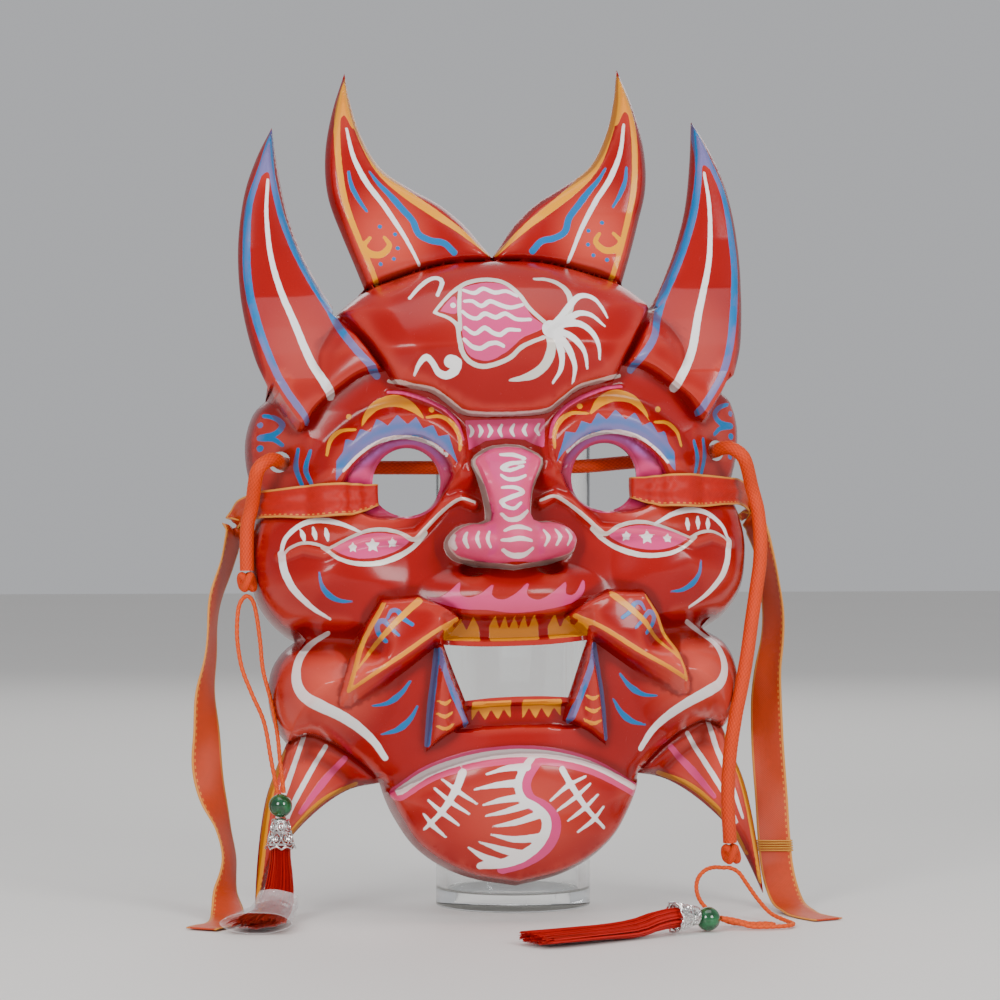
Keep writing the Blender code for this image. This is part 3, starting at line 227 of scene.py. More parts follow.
# Painted ornament. A stroke is a colour, its half widths from end to end and the points it runs
# through; a patch is a colour and its closed outline. SIDE rows are painted on both halves.
SIDE_STROKES = [
    # Inner horn: gold borders, pale middle line, blue leaf and wave, curl
    ("gold", (0.9, 1.1, 1.1, 0.9), [[(47.5, 145), (52.3, 131), (53.5, 116), (52, 98), (47.5, 82),
        (42, 66)]]),
    ("gold", (0.9, 1.6, 2.0, 1.5, 0.5), [[(46.5, 145), (46.3, 128), (43.5, 118), (38.5, 108), (30.5, 99.5),
        (22, 92.8), (13, 86), (5, 79), (1, 75.5)]]),
    ("white", (0.5, 1.0, 0.9, 0.5), [[(50, 123), (48, 112.5), (43.8, 103), (38, 94.5), (32, 84),
        (26.5, 72)]]),
    ("blue", (0.5, 0.9, 0.5), [[(50, 107), (49.2, 102), (47, 97), (44.2, 92.5)]]),
    ("blue", (0.4, 1.2, 1.2, 1.2), [[(42.5, 107), (39.5, 102.5), (35.5, 98), (31.5, 93), (28, 88.5),
        (26.2, 83.5), (22, 81), (17.5, 80), (14, 76.5)]]),
    ("gold", (0.6, 1.3, 1.2, 0.6), [[(43.5, 82.5), (46, 79.2), (43.6, 76.4), (39.8, 76.2), (36.8, 79.4),
        (38.5, 82.5)]]),
    # Outer horn
    ("blue", (0.8, 1.3, 1.4, 1.2), [[(76, 124), (81, 109), (85.5, 96), (87, 81), (87, 67), (85, 54),
        (81.5, 40), (77, 28.5), (69, 16.2)]]),
    ("blue", (0.8, 1.3, 1.4, 1.3), [[(76, 124), (77, 109), (75, 95), (71.5, 83), (66, 70), (59.5, 57.5),
        (53, 42), (44.5, 31)]]),
    ("white", (0.5, 0.9, 1.3, 1.6), [[(78.6, 105), (79.6, 92.5), (78.8, 78), (76.4, 66), (71.8, 52),
        (67, 37), (60.5, 25)]]),
    # Ear
    ("blue", (0.7, 1.0, 1.0, 0.7), [[(83, 20.5), (79, 19), (76.8, 16.2), (79.6, 13.6), (84.5, 13),
        (79.6, 11.8), (77, 9.6)]]),
    ("blue", (0.6, 0.9, 0.6), [[(71.8, 7.5), (72.6, 1.5), (70.6, -5.5)], [(67.8, 6.5), (69.4, 0.5),
        (67.6, -5.5)]]),
    # Brow and eye
    ("gold", (0.5, 0.8, 0.5), [[(62.4, 4.4), (61, 9.6), (57.4, 12.6), (52.6, 12.6)]]),
    ("gold", (0.5, 0.9, 0.5), [[(28, 15.8), (22.8, 16.2), (18.8, 13.6), (16.6, 9), (16.6, 4.4)]]),
    # Pink along the raised brow line: partly paint, partly painted highlight on the ridge
    ("pink", (0.5, 0.7, 0.7, 0.5), [[(41, 25.2), (35.5, 24.7), (27.5, 22), (21.3, 18.7), (17, 14),
        (15.3, 8)]]),
    # White along the lid's edge: partly paint, partly painted highlight on the brink
    ("white", (0.5, 0.6, 0.5), [[(57, -1.5), (52.6, 3), (46.8, 7), (40, 9.2), (33, 9.2), (26, 6.8),
        (21, 2.8)]]),
    # Cheek: leaf, arcs and tail
    ("silver", (0.5, 0.7, 0.7, 0.5), [[(11.5, -13.5), (16.2, -12.2), (20.8, -14.6), (26.5, -19.5),
        (31.2, -24.2), (34, -26), (39, -23.2), (46, -22), (53, -23.6), (63.2, -28.4)]]),
    ("silver", (0.6, 1.0, 0.8, 0.5), [[(29, -24), (33, -28), (38.5, -31.5), (46, -34), (54, -34), (60, -32),
        (65.5, -28)]]),
    ("silver", (0.5, 0.6, 0.5), [[(63.2, -28.4), (67.6, -26.4), (72, -25.8), (76, -27.2), (78.4, -29.4)]]),
    ("white", (0.5, 1.0, 0.9, 0.6), [[(51.5, -23), (57.2, -20), (62.8, -18.2), (68, -18), (72.8, -19.6),
        (77.4, -23.8), (79, -29)]]),
    ("white", (1.2, 1.2, 0.9, 0.4), [[(79, -29), (78.2, -35), (76, -40.6), (72.4, -45.2), (68.2, -49),
        (63, -52.4)]]),
    ("white", (0.4, 0.9, 0.4), [[(71.8, -21), (71, -25.2)], [(67.8, -20.4), (67.2, -24.8)], [(63.6, -21),
        (63.2, -25.4)]]),
    ("blue", (0.3, 1.0, 0.3), [[(66.8, -36.4), (66, -41), (63.6, -44.4), (60, -46.4), (55.6, -47)]]),
    # Tusk
    ("gold", (0.7, 0.8, 0.6), [[(45.5, -48.5), (50.4, -57), (55, -67), (58.6, -77.5)], [(20.5, -54.6),
        (29, -59), (40.4, -66.4), (51, -73), (58.6, -78)]]),
    ("gold", (1.2, 0.9, 0.3), [[(33.5, -47.8), (39.4, -52.8), (45.2, -58.4), (52, -66.4), (56, -71)]]),
    ("blue", (0.7, 0.9, 0.5), [[(45.2, -61.4), (47.6, -58.4), (48, -55.4), (46.2, -54.2), (44.2, -56.4),
        (41, -59.6)]]),
    ("blue", (0.5, 0.9, 0.7), [[(44.6, -53.4), (43.2, -51), (41, -51.2), (39.4, -53.8), (36.4, -56)]]),
    # Jaw
    ("white", (0.8, 1.3, 2.0, 1.6, 1.0), [[(63.4, -57), (68.6, -60), (73, -64.5), (75, -69.5), (75, -75),
        (72.4, -79.4), (67, -82.6), (60.4, -86), (54.4, -90), (49, -95), (45, -101)]]),
    ("blue", (0.3, 1.1, 0.4), [[(49.8, -83), (44.5, -82.2), (40, -79.2), (36.6, -75)]]),
    ("blue", (0.3, 1.2, 0.4), [[(46.4, -92.8), (41, -91.4), (36.8, -88), (34.2, -83.6)]]),
    # Fang
    ("blue", (0.9, 1.0, 0.9), [[(27.4, -64.5), (28.6, -74), (30, -84), (31.2, -97)]]),
    ("blue", (0.9, 1.1, 1.1), [[(27, -64.5), (25, -73), (21.6, -82), (18, -90.5)]]),
    ("gold", (0.4, 0.7, 0.4), [[(28, -82.4), (25.6, -83.4), (23.6, -82.2)], [(28.4, -86.6), (25.8, -87.8),
        (23.2, -86.4)], [(28.6, -90.8), (25.6, -92), (22.6, -90.4)]]),
    # Fin under the jaw
    ("gold", (0.7, 1.0, 1.0, 0.7), [[(79, -97), (83.2, -109), (86.2, -122), (88.2, -137), (90, -150)]]),
    ("gold", (0.7, 0.9, 0.8, 0.5), [[(54, -109.5), (64.5, -114), (73, -121), (80, -129.5), (85.5, -140)]]),
    ("white", (0.8, 1.0, 0.5), [[(72, -92), (76, -103), (80.5, -115), (84, -127)], [(64.5, -96),
        (71, -106.5), (77, -117), (82, -129)]]),
    ("pink", (1.0, 1.4, 0.8), [[(58, -100.5), (66, -109), (74, -119)]]),
]
SIDE_PATCHES = [
    ("gold", [[(48, 146), (51.8, 132), (53.2, 125), (50.6, 128), (47.6, 123), (46.4, 130)], [(50.6, 12.6),
        (49.6, 17.4), (46, 22), (39.2, 24.2), (32.6, 21.6), (28.8, 15.2), (33.2, 18), (38, 20),
        (43.6, 19.6), (47.6, 16.8)]]),
    ("blue", [[(76, 124.5), (80.5, 111), (81.6, 106), (78.6, 108), (76.9, 105), (76.4, 114)]]),
    ("pink", [[(62.4, -28.6), (57, -25.6), (50.4, -23.8), (44.2, -23.4), (38.4, -24.6), (35, -26.4),
        (39.8, -29.8), (47, -32), (53.2, -32.2), (58.4, -30.8)]]),
]
# Patches with corners, which are not smoothed: flames of the brow and teeth
SIDE_CORNERED = [
    ("blue", [[(59.8, -5), (59.4, 2), (57.2, 5), (56, 9.4), (53.2, 8.6), (51, 12.6), (47.6, 11.2),
        (45.2, 16), (41.6, 13.2), (38.2, 17), (34.8, 13.4), (31.8, 16), (29.4, 12), (26, 13.2), (24, 9.2),
        (20.4, 9.8), (19, 4.8), (17, -1), (19.8, 2.8), (24.8, 6.8), (29.8, 9.2), (35.8, 10), (41.6, 9.2),
        (48.4, 6.2), (54.2, 2.2), (57.6, -2.2)]]),
    ("gold", [[(12, -62.2), (25, -61.4), (25, -57.6), (22.6, -55), (20.8, -58.4), (18.4, -53.6),
        (16.4, -58.4), (14.2, -53.4), (12, -57.6)], [(0, -62.4), (8.6, -62.3), (8.6, -57), (6.8, -53.4),
        (5, -58.4), (3.4, -53.4), (1.7, -58.4), (0, -53.4)], [(2, -82.8), (15.6, -83), (15.6, -89.4),
        (13.2, -85.6), (11, -89.4), (8.8, -85.6), (6.6, -89.4), (4.4, -85.6), (2, -89.4)]]),
]
WHOLE_STROKES = [
    # Edge of the forehead
    ("silver", (0.6, 0.7, 0.6, 0.7, 0.6), [[(-40.5, 29), (-33, 27), (-25.5, 25), (-19.5, 20.8), (-15, 17.6),
        (-8, 16.6), (0, 16.4), (8, 16.6), (15, 17.6), (19.5, 20.8), (25.5, 25), (33, 27), (40.5, 29)]]),
    # Fish on the forehead, with its five waves, plumed tail, hook and squiggle
    ("silver", (0.5, 0.8, 0.8, 0.7), [[(-24.6, 51.6), (-21, 55.8), (-17, 59.6), (-11.8, 62.8), (-5, 64),
        (1, 62.4), (5.6, 57.4), (8.6, 52), (14.2, 46)], [(-24.6, 51.6), (-19.4, 49), (-17.2, 46.2),
        (-16.8, 42), (-16, 37.2), (-13.6, 33.8), (-9.4, 32), (-4.6, 32.6), (0.8, 34.8), (5, 38.4),
        (12.4, 41.4)]]),
    ("silver", (0.6, 0.7, 0.6), [[(-14.6, 61), (-15.8, 54), (-16.2, 45)]]),
    ("white", (0.6, 0.8, 0.8, 0.6), [[(-13.8, 59.8), (-10, 58.4), (-6.8, 60.2), (-2.8, 58.4), (1, 59),
        (4.6, 57)], [(-13.8, 55.4), (-11, 55.4), (-8.2, 53.4), (-5, 55.2), (-1.6, 53.6), (2, 52.6),
        (6.2, 53.6)], [(-15, 51.6), (-12.6, 49.4), (-10, 48.8), (-7.2, 50.6), (-3.6, 49), (-0.2, 50.4),
        (3.6, 48.2), (8.4, 48)], [(-14.6, 45.6), (-11.4, 43.2), (-7.8, 45.4), (-5.4, 43.6), (-2.4, 42.6),
        (0, 44.4), (4.2, 44.2)], [(-15.2, 41.4), (-12.6, 38.8), (-9.4, 38), (-7, 39.4), (-4, 39.8),
        (-1.6, 38.6)]]),
    ("silver", (0.5, 0.9, 1.2, 0.8), [[(11.8, 63.8), (16.2, 63.6), (20.2, 61.8), (23, 58.2), (23.2, 53),
        (20, 47.6), (15.4, 44.6)]]),
    ("white", (0.5, 1.2, 0.9, 0.4), [[(15.6, 46), (20.6, 50.6), (25.6, 56), (29, 57.2), (32.4, 55.8),
        (34.6, 52.2), (36, 48.6)]]),
    ("white", (0.9, 1.2, 0.9, 0.4), [[(15.8, 45.4), (21, 47.8), (26, 50.2), (30.4, 49.4), (34.6, 45.4)],
        [(16, 44.8), (21, 46.2), (25.8, 46.2), (29.8, 43), (31.8, 38.6), (32.2, 33.6)]]),
    ("white", (0.9, 1.2, 0.8, 0.4), [[(16, 44.2), (21, 42.4), (24.6, 39.4), (27, 35.6), (27.8, 30.6)],
        [(15.8, 43.8), (19.4, 40), (22, 35.6), (23.4, 31), (22.8, 25.6)], [(15.4, 43.4), (17.8, 38.6),
        (18.8, 34), (18.2, 30), (15.6, 26)]]),
    ("silver", (1.2, 1.7, 1.5, 0.4), [[(14.4, 43.4), (15, 37.6), (13.2, 32.6), (9.6, 29.4), (5, 27.8),
        (0.4, 27.2)]]),
    ("white", (0.5, 0.8, 0.8, 0.6), [[(-32.4, 57.6), (-28.6, 61.8), (-24.6, 65), (-21.6, 65.4),
        (-20.4, 63.4), (-22.8, 58.2)]]),
    ("white", (0.4, 1.0, 1.0, 1.4, 2.2), [[(-32.4, 29.8), (-30.6, 33.6), (-28.2, 35.8), (-26, 33.6),
        (-24.2, 30.6), (-21.4, 29.4), (-18.6, 30.8), (-18, 33.4), (-20, 34)]]),
    # Marks down the nose
    ("white", (0.5, 0.8, 0.6), [[(-2.6, 2.4), (2, 2.2), (6, 0.8)]]),
    ("white", (0.5, 0.8, 0.7, 0.5), [[(5.8, -0.4), (0.4, -1), (-2.4, -2.4), (0, -3.4), (5, -2)]]),
    ("white", (0.5, 0.8, 0.5), [[(-3, -5), (-1, -6.6), (2.4, -6.6), (5.6, -5.4)]]),
    ("white", (0.5, 0.8, 0.8, 0.5), [[(-3.2, -9.6), (1, -9.6), (4, -11.4), (-1, -13.4), (-3.8, -14.6),
        (-3, -16.2), (0, -17.4), (3, -15.2)]]),
    ("white", (0.5, 1.0, 0.5), [[(-4.4, -19), (-2.6, -21.6), (1, -21.2), (5.2, -18)], [(-5.4, -32),
        (-2.4, -34), (1.8, -34), (5, -31.8)]]),
    ("white", (0.5, 0.9, 0.5), [[(-4.6, -25.6), (-1.8, -24.6), (1.2, -24.6), (4.4, -25.6)], [(-5.8, -28.8),
        (-3.2, -29), (0, -28.6), (4.4, -29.4)]]),
    # Chin: the arc over it, the curved spine and its spikes
    ("pink", (2.6, 3.2, 3.2, 2.6), [[(-41, -113.4), (-30.8, -107), (-18.8, -103.4), (-6.6, -101.8),
        (5.4, -102), (16.8, -104), (27.6, -107.6), (41.5, -115)]]),
    ("white", (1.2, 1.4, 1.4, 1.2), [[(-41, -113), (-30.8, -106.6), (-18.8, -102.9), (-6.6, -101.2),
        (5.4, -101.4), (16.8, -103.4), (27.6, -107), (41.5, -114.4)]]),
    ("pink", (2.0, 2.6, 2.8, 2.2), [[(5.6, -103.6), (2, -108), (0.4, -112.4), (2, -117.4), (7, -120.4),
        (10.4, -124.6), (10.4, -129.4), (7.4, -134.4), (1.4, -138.2), (-6, -140.4)]]),
    ("white", (1.1, 1.3, 1.7, 2.1, 1.2), [[(3.8, -102.6), (0, -107.4), (-1.6, -112.2), (0, -117),
        (4.8, -120.2), (8, -124), (8, -128.4), (5.4, -133), (0.4, -136.6), (-6, -138.8), (-14, -139.4)]]),
    ("white", (1.4, 1.0, 0.3), [[(1.6, -106), (-5.2, -106.2), (-12.4, -108)], [(-1.8, -111.4), (-9, -111.8),
        (-16.6, -113)], [(5, -122.6), (-2.4, -124.8), (-10.6, -126)], [(-8, -138.4), (-13.6, -136),
        (-18.4, -132.8)]]),
    ("white", (1.3, 1.0, 0.3), [[(-1.4, -116.4), (-7.4, -117), (-13.6, -118.4)]]),
    ("white", (1.3, 0.9, 0.3), [[(1, -119), (-6.2, -121), (-13, -122.2)]]),
    ("white", (1.5, 1.1, 0.3), [[(6, -130.4), (-2.8, -130.6), (-11, -128.6)], [(0, -136), (-7, -134),
        (-15, -131)]]),
    # Stitches on the chin
    ("white", (1.4, 1.1, 0.5), [[(-20.2, -107), (-22.6, -112.6), (-27.2, -119.8), (-33, -126)]]),
    ("white", (0.4, 0.8, 0.4), [[(-27.2, -109), (-21.8, -113.6), (-15.6, -118)], [(-29.8, -112),
        (-24.4, -117), (-18.2, -121.4)], [(-32, -116), (-27.4, -120.4), (-21.8, -125)], [(-33.4, -120.6),
        (-30.2, -125), (-26, -129)], [(9.6, -117.8), (15.8, -113), (22.4, -110)], [(12, -121.4),
        (18.2, -117.2), (24, -112.6)], [(15.8, -125), (21.6, -121), (26.8, -116.4)], [(19.6, -129),
        (25, -125.2), (29, -120.6)]]),
    ("white", (1.1, 1.0, 0.5), [[(14, -107.2), (17.4, -113.4), (22.6, -121), (29.4, -128)]]),
]
WHOLE_PATCHES = [
    ("pink", [[(-13.8, 60.8), (-9.6, 62), (-4.6, 62.6), (1.2, 61.2), (6, 56), (8.8, 49.4), (12.8, 45.2),
        (5.4, 41.6), (2.2, 39), (-1, 36.4), (-7, 33.8), (-13, 35.4), (-15.4, 40.2), (-15.4, 51.6)],
        [(-22.6, 52), (-19.6, 55.6), (-16.8, 57.4), (-17, 51)]]),
    # Moustache
    ("pink", [[(-31, -46), (-26, -46.6), (-22, -44.4), (-18.6, -41.6), (-19, -45.6), (-16, -47.2),
        (-12, -46), (-7.4, -42.8), (-8.4, -46.6), (-5, -48.4), (-0.6, -46.8), (4.6, -42.8), (3.8, -47),
        (7.6, -48.8), (12.4, -46.8), (18, -42.8), (17.8, -46.8), (21, -47), (24.6, -42), (24.6, -46),
        (21, -49.6), (12, -52), (0, -53), (-9, -51.8), (-18, -51), (-25.6, -48.8)]]),
]
BLUE_DOTS = [(39.8, 86.6, 0.8), (34.6, 83.6, 0.8), (34, 78.4, 0.8), (35.6, 74.4, 0.8), (40.4, 72.6, 0.8),
    (84.2, 17.4, 1.1), (84.4, 9.4, 1.2), (84.2, 2.4, 1.1)]
GOLD_DOTS = [(54.4, 17.4, 1.0), (26, 18.6, 1.0)]
CHEEK_STARS = [(55, -28.4, 2.1), (48, -27.8, 2.9), (41, -27, 2.2)]
BRIDGE_MARKS = [(-12, 1), (-8.8, 1), (-5.4, 1), (-1.6, -1), (2.6, -1), (7, -1), (11.4, -1)]
BRIDGE_PATCH = [(-14, 15), (14, 15), (13.2, 4.5), (7, 7.8), (0, 8.6), (-7, 7.8), (-13.2, 4.5)]
WING_MARKS = [9.8, 13.6, 17.6, 21]
# The fish's eye and the root of its tail
WHITE_DOTS = [(-17.9, 54, 1.0), (15.4, 44.4, 3.2)]
# One mark of the bridge and one of the nose's wings: its bend and height, and the half widths of both
BRIDGE_MARK = [(-0.5, 13.2), (0.5, 11.2), (-0.5, 9.2)]
WING_MARK = [(-0.5, -25.4), (0.7, -28.2), (-0.5, -31)]
MARK_WIDTHS = (0.4, 0.7, 0.4)
NOSE_MARGIN = 0.4
NOSE_PINK_DOWN_TO = 36.0
NOSE_LINE = 0.6
NOSE_LINE_INSET = 0.5
# Half width of the painted highlight round the rim of each eye hole
EYE_RIM_HIGHLIGHT = 1.0
STAR_WAIST = 0.45
# Where a wash starts and how far it takes to be full: depths within the eye, and height for the last
SOCKET_WASH = (0.6, 2.4)
LILAC_IN = (0.4, 2.0)
LILAC_OUT = (2.4, 3.2)
LILAC_ABOVE = (-4.0, 8.0)
COLOURS = ("pink", "blue", "gold", "silver", "white")
# Paleness over the swelling forms, partly airbrush and partly painted highlight, each a mound on one half:
# middle, radii and strength
SALMON_AND_HIGHLIGHT_MOUNDS = [((62, -76), (20, 20), 1.0), ((0, -122), (36, 24), 0.8), ((37, 82), (19, 24), 1.0),
    ((76, -108), (22, 34), 1.0), ((78, 6), (11, 20), 0.55), ((52, -18), (22, 16), 0.5),
    ((70, 40), (16, 26), 0.35), ((0, 50), (34, 20), 0.25)]

# How paint is laid on the mesh, in mask units
PAINT_REACH = 3.0
STROKE_SPACING = 1.2
HOLLOW_STEPS = 26
BACK_EASING = 5

# Braids, cords and knots
STAND_SIDES = 128
STAND_EDGE = 0.0006
GLUE_FILLET = 0.0012
EDGE_TURNS = [math.pi / 2 * k / 4 for k in range(5)]
CORD_STEP = 0.0006
CORD_SIDES = 32
CORD_LAY = 520.0
BRAID_DEPTH = 0.045
THIN_STEP = 0.0005
THIN_SIDES = 10
THIN_PITCH = 0.0022
THIN_GROOVE = 0.22
THIN_STRANDS = 2
THIN_LAY = 450
KNOT_STRAND = 0.0027
KNOT_STRANDS = 4
KNOT_LAY = 700.0
KNOT_STEPS = 160
KNOT_SIDES = 14

# Beads, caps, silk and film
BEAD_BORE = 0.0008
BEAD_SIDES = 40
BEAD_RINGS = 22
CAP_WIRE = 0.00036
CAP_STEPS = 72
CAP_OVAL_STEPS = 18
CAP_PETALS = 8
WIRE_SIDES = 6
# Rings of a cap: share of its height and wire radius; ovals: count, middle, half height, half turn
CAP_RINGS = [(0.93, 0.00042), (0.58, 0.0004), (0.2, 0.00042)]
CAP_OVALS = [(8, 0.39, 0.17, 0.33), (6, 0.755, 0.15, 0.42)]
# The two wires of an oval: share of its width and height, lift and share of the wire's radius
CAP_OVAL_WIRES = [(1.0, 1.0, 0.0, 0.8), (0.35, 0.45, 0.0002, 0.7)]
CAP_CROWN = [(0.3, 1.0), (0.72, 1.0), (0.94, 0.965), (1.0, 0.91), (0.86, 0.9), (0.3, 0.94)]
THREAD_RADIUS = 0.00021
THREAD_STEPS = 12
THREAD_SIDES = 3
THREAD_SWAY = 0.05
THREAD_SINK = 0.3
THREAD_TAPER = 0.4
SILK_SEEDS = {"left": 11, "right": 23, "film": 5}
SKIRT_STEP = 0.002
FILM_WALL = 0.0003
FILM_FROM = 0.3
FILM_TO = 0.97
FILM_STEPS = 70
FILM_SIDES = 56
FILM_CRINKLES = 9
FILM_FLARE = 0.0022
FILM_DEPTH = 0.9
FILM_WAVES = 9
FILM_FULLNESS = 0.2

# Ribbons and their band
RIBBON_ACROSS = 10
RIBBON_STATION = 0.0014
GATHER_FOLDS = 2
GATHER_LIMIT = 0.0004
GATHER_FROM = 0.011
RIBBON_CUP = 0.0002
RIBBON_FLUTTER = 0.0004
RIBBON_WAVE = 0.031
SATIN_SHARE = 0.8
BAND_THREAD = 0.0005
BAND_TURNS = 5
BAND_STEPS = 40
BAND_FULLNESS = 0.3
BAND_WIRE = 1.15

# Stage: softboxes with their share of the power, size and place, and the camera
SOFTBOXES = [
    ("softbox left", 1.0, (0.45, 0.5), (-0.78, -1.15, 0.62)),
    ("softbox right", 0.9, (0.45, 0.5), (0.66, -1.15, 0.60)),
    ("softbox above", 0.6, (1.2, 0.8), (0.0, -0.25, 1.35)),
    ("softbox behind", 0.4, (1.2, 0.6), (0.2, 1.2, 0.8)),
]
CAMERA_PLACE = (-0.1509, -1.1905, 0.14676)
CAMERA_TURN = (90.0, 0.0, -7.0)
CAMERA_LENS = 118.8
CAMERA_SENSOR = 36.0

# Routes outside the mask: points in metres in the world
CORD_LEFT = [(-0.0980, -0.0318, 0.1220), (-0.0981, -0.0318, 0.1300), (-0.0978, -0.0320, 0.1380),
    (-0.0963, -0.0330, 0.1450)]
CORD_RIGHT = [(0.0815, -0.0345, 0.1510), (0.0835, -0.0350, 0.1430), (0.0842, -0.0358, 0.1340),
    (0.0838, -0.0372, 0.1250), (0.0822, -0.0392, 0.1160), (0.0801, -0.0416, 0.1050),
    (0.0779, -0.0440, 0.0926), (0.0757, -0.0450, 0.0813), (0.0734, -0.0450, 0.0700),
    (0.0717, -0.0438, 0.0567), (0.0712, -0.0424, 0.0418), (0.0722, -0.0412, 0.0256)]
CORD_BEHIND = [(-0.0450, -0.0262, 0.1582), (-0.0250, -0.0310, 0.1582), (0, -0.0322, 0.1583),
    (0.0200, -0.0316, 0.1587), (0.0360, -0.0262, 0.1600)]
# How the cord passes an ear hole: outwards, up and forwards from the middle of the hole
CORD_OUT = [(0.0014, 0.0004, 0.0040), (0.0042, 0.0, 0.0076), (0.0084, -0.0040, 0.0090)]
CORD_IN = [(-0.0014, -0.0002, -0.0038), (-0.0055, -0.0007, -0.0072), (-0.0130, -0.0013, -0.0088)]
TASSEL_CORD_LEFT = [(-0.0876, -0.0370, 0.0444), (-0.0898, -0.0370, 0.0560), (-0.0922, -0.0358, 0.0690),
    (-0.0964, -0.0342, 0.0790), (-0.0998, -0.0330, 0.0880), (-0.1014, -0.0324, 0.0980),
    (-0.1012, -0.0320, 0.1070), (-0.1001, -0.0318, 0.1112), (-0.0980, -0.0318, 0.1131),
    (-0.0959, -0.0318, 0.1112), (-0.0946, -0.0321, 0.1060), (-0.0934, -0.0326, 0.0970),
    (-0.0924, -0.0336, 0.0870), (-0.0896, -0.0345, 0.0760), (-0.0876, -0.0360, 0.0650),
    (-0.0866, -0.0369, 0.0550), (-0.0853, -0.0370, 0.0444)]
TASSEL_CORD_RIGHT = [(0.0606, -0.0850, 0.0045), (0.0660, -0.0840, 0.0030), (0.0710, -0.0842, 0.0014),
    (0.0770, -0.0846, 0.0012), (0.0835, -0.0832, 0.0012), (0.0872, -0.0780, 0.0012),
    (0.0862, -0.0705, 0.0014), (0.0825, -0.0630, 0.0030), (0.0795, -0.0560, 0.0068),
    (0.0768, -0.0492, 0.0116), (0.0748, -0.0442, 0.0152), (0.0722, -0.0420, 0.0166),
    (0.0694, -0.0424, 0.0168), (0.0658, -0.0446, 0.0172), (0.0620, -0.0480, 0.0166),
    (0.0587, -0.0522, 0.0142), (0.0572, -0.0577, 0.0108), (0.0578, -0.0640, 0.0072),
    (0.0612, -0.0700, 0.0036), (0.0665, -0.0742, 0.0014), (0.0725, -0.0757, 0.0012),
    (0.0775, -0.0757, 0.0012), (0.0803, -0.0780, 0.0012), (0.0780, -0.0806, 0.0012),
    (0.0720, -0.0808, 0.0018), (0.0655, -0.0810, 0.0034), (0.0597, -0.0830, 0.0045)]
BEAD_LEFT = (-0.0865, -0.0370, 0.0400)
BEAD_RIGHT = (0.0560, -0.0860)
RIGHT_TASSEL_HEADING = 206.0
# The left skirt's path below its cap: sideways, forwards and the share of the drop to the table
SKIRT_LEFT_BEND = [(0, 0, 0.0), (0, 0, 0.44), (-0.0006, 0.0012, 0.78), (-0.0022, 0.0058, 0.95),
    (-0.0046, 0.0142, 1.0), (-0.0078, 0.0262, 1.0), (-0.0108, 0.0400, 1.0)]
# The right skirt sinks on to the table: the share of its length before that, and the share it takes
SKIRT_RIGHT_SINKS = (0.05, 0.3)
# Half width of a skirt and half its thickness at shares of its length, below the neck in its cap
SKIRT_NECK_SHARE = 0.08
SKIRT_HALF_WIDTHS = [(0.35, 0.0056), (0.7, 0.0078), (1.0, SKIRT_SPREAD / 2)]
SKIRT_HALF_DEPTHS = [(0.3, 0.0034), (0.5, SKIRT_THICKNESS / 2), (1.0, SKIRT_THICKNESS / 2)]
# The bell of a tassel's cap: share of its height with its radius
CAP_WAIST = 0.78
CAP_BELL = [(0.0, CAP_MOUTH_DIAMETER / 2), (0.18, CAP_MOUTH_DIAMETER / 2 * 0.88),
    (0.45, CAP_MOUTH_DIAMETER / 2 * CAP_WAIST), (0.8, CAP_TOP_DIAMETER / 2 * 1.05),
    (1.0, CAP_TOP_DIAMETER / 2 * 0.86)]

# Ribbon stations: across the face in mask units (u, v, share of full width, lift over the face), round
# the mask's edge (u, v, share, h), then free in the world (x, y, z, turn in degrees)
RIBBON_HOLE = [(50.0, -9.8, 0.62, -10.5), (46.3, -9.6, 0.62, -8.5), (44.7, -9.4, 0.62, -4.4),
    (45.1, -9.6, 0.64, -0.4)]
RIBBON_FACE = [(47.2, -10.0, 0.7, 0.6), (50.0, -10.6, 0.8, 0.5), (55.0, -11.2, 0.95, 0.4),
    (66.0, -11.3, 1.0, 0.4), (72.0, -11.2, 0.95, 0.4), (78.0, -11.0, 0.85, 0.4), (84.5, -10.8, 0.8, 0.4)]
RIBBON_FACE_STEPS = 16
RIBBON_WRAP = [(88.8, -11.2, 0.78, 6.5), (91.6, -12.5, 0.78, 0.8), (92.8, -15.0, 0.8, -4.0)]
RIBBON_LEFT_FALL = [(-0.1020, -0.0150, 0.1335, 60), (-0.1048, -0.0170, 0.1240, 64),
    (-0.1080, -0.0190, 0.1130, 66), (-0.1098, -0.0200, 0.1010, 72), (-0.1108, -0.0205, 0.0890, 66),
    (-0.1120, -0.0208, 0.0770, 52), (-0.1120, -0.0210, 0.0650, 38), (-0.1115, -0.0212, 0.0530, 24),
    (-0.1095, -0.0215, 0.0420, 36), (-0.1062, -0.0220, 0.0310, 62), (-0.1035, -0.0228, 0.0200, 64)]
RIBBON_RIGHT_FALL = [(0.0868, -0.0150, 0.1370, 62), (0.0892, -0.0165, 0.1280, 66),
    (0.0915, -0.0175, 0.1180, 66), (0.0925, -0.0180, 0.1080, 62), (0.0920, -0.0180, 0.0960, 58),
    (0.0908, -0.0180, 0.0850, 48), (0.0900, -0.0182, 0.0740, 32), (0.0902, -0.0188, 0.0620, 22),
    (0.0908, -0.0195, 0.0500, 14), (0.0916, -0.0202, 0.0380, 8), (0.0922, -0.0208, 0.0260, 6),
    (0.0932, -0.0216, 0.0150, 6)]
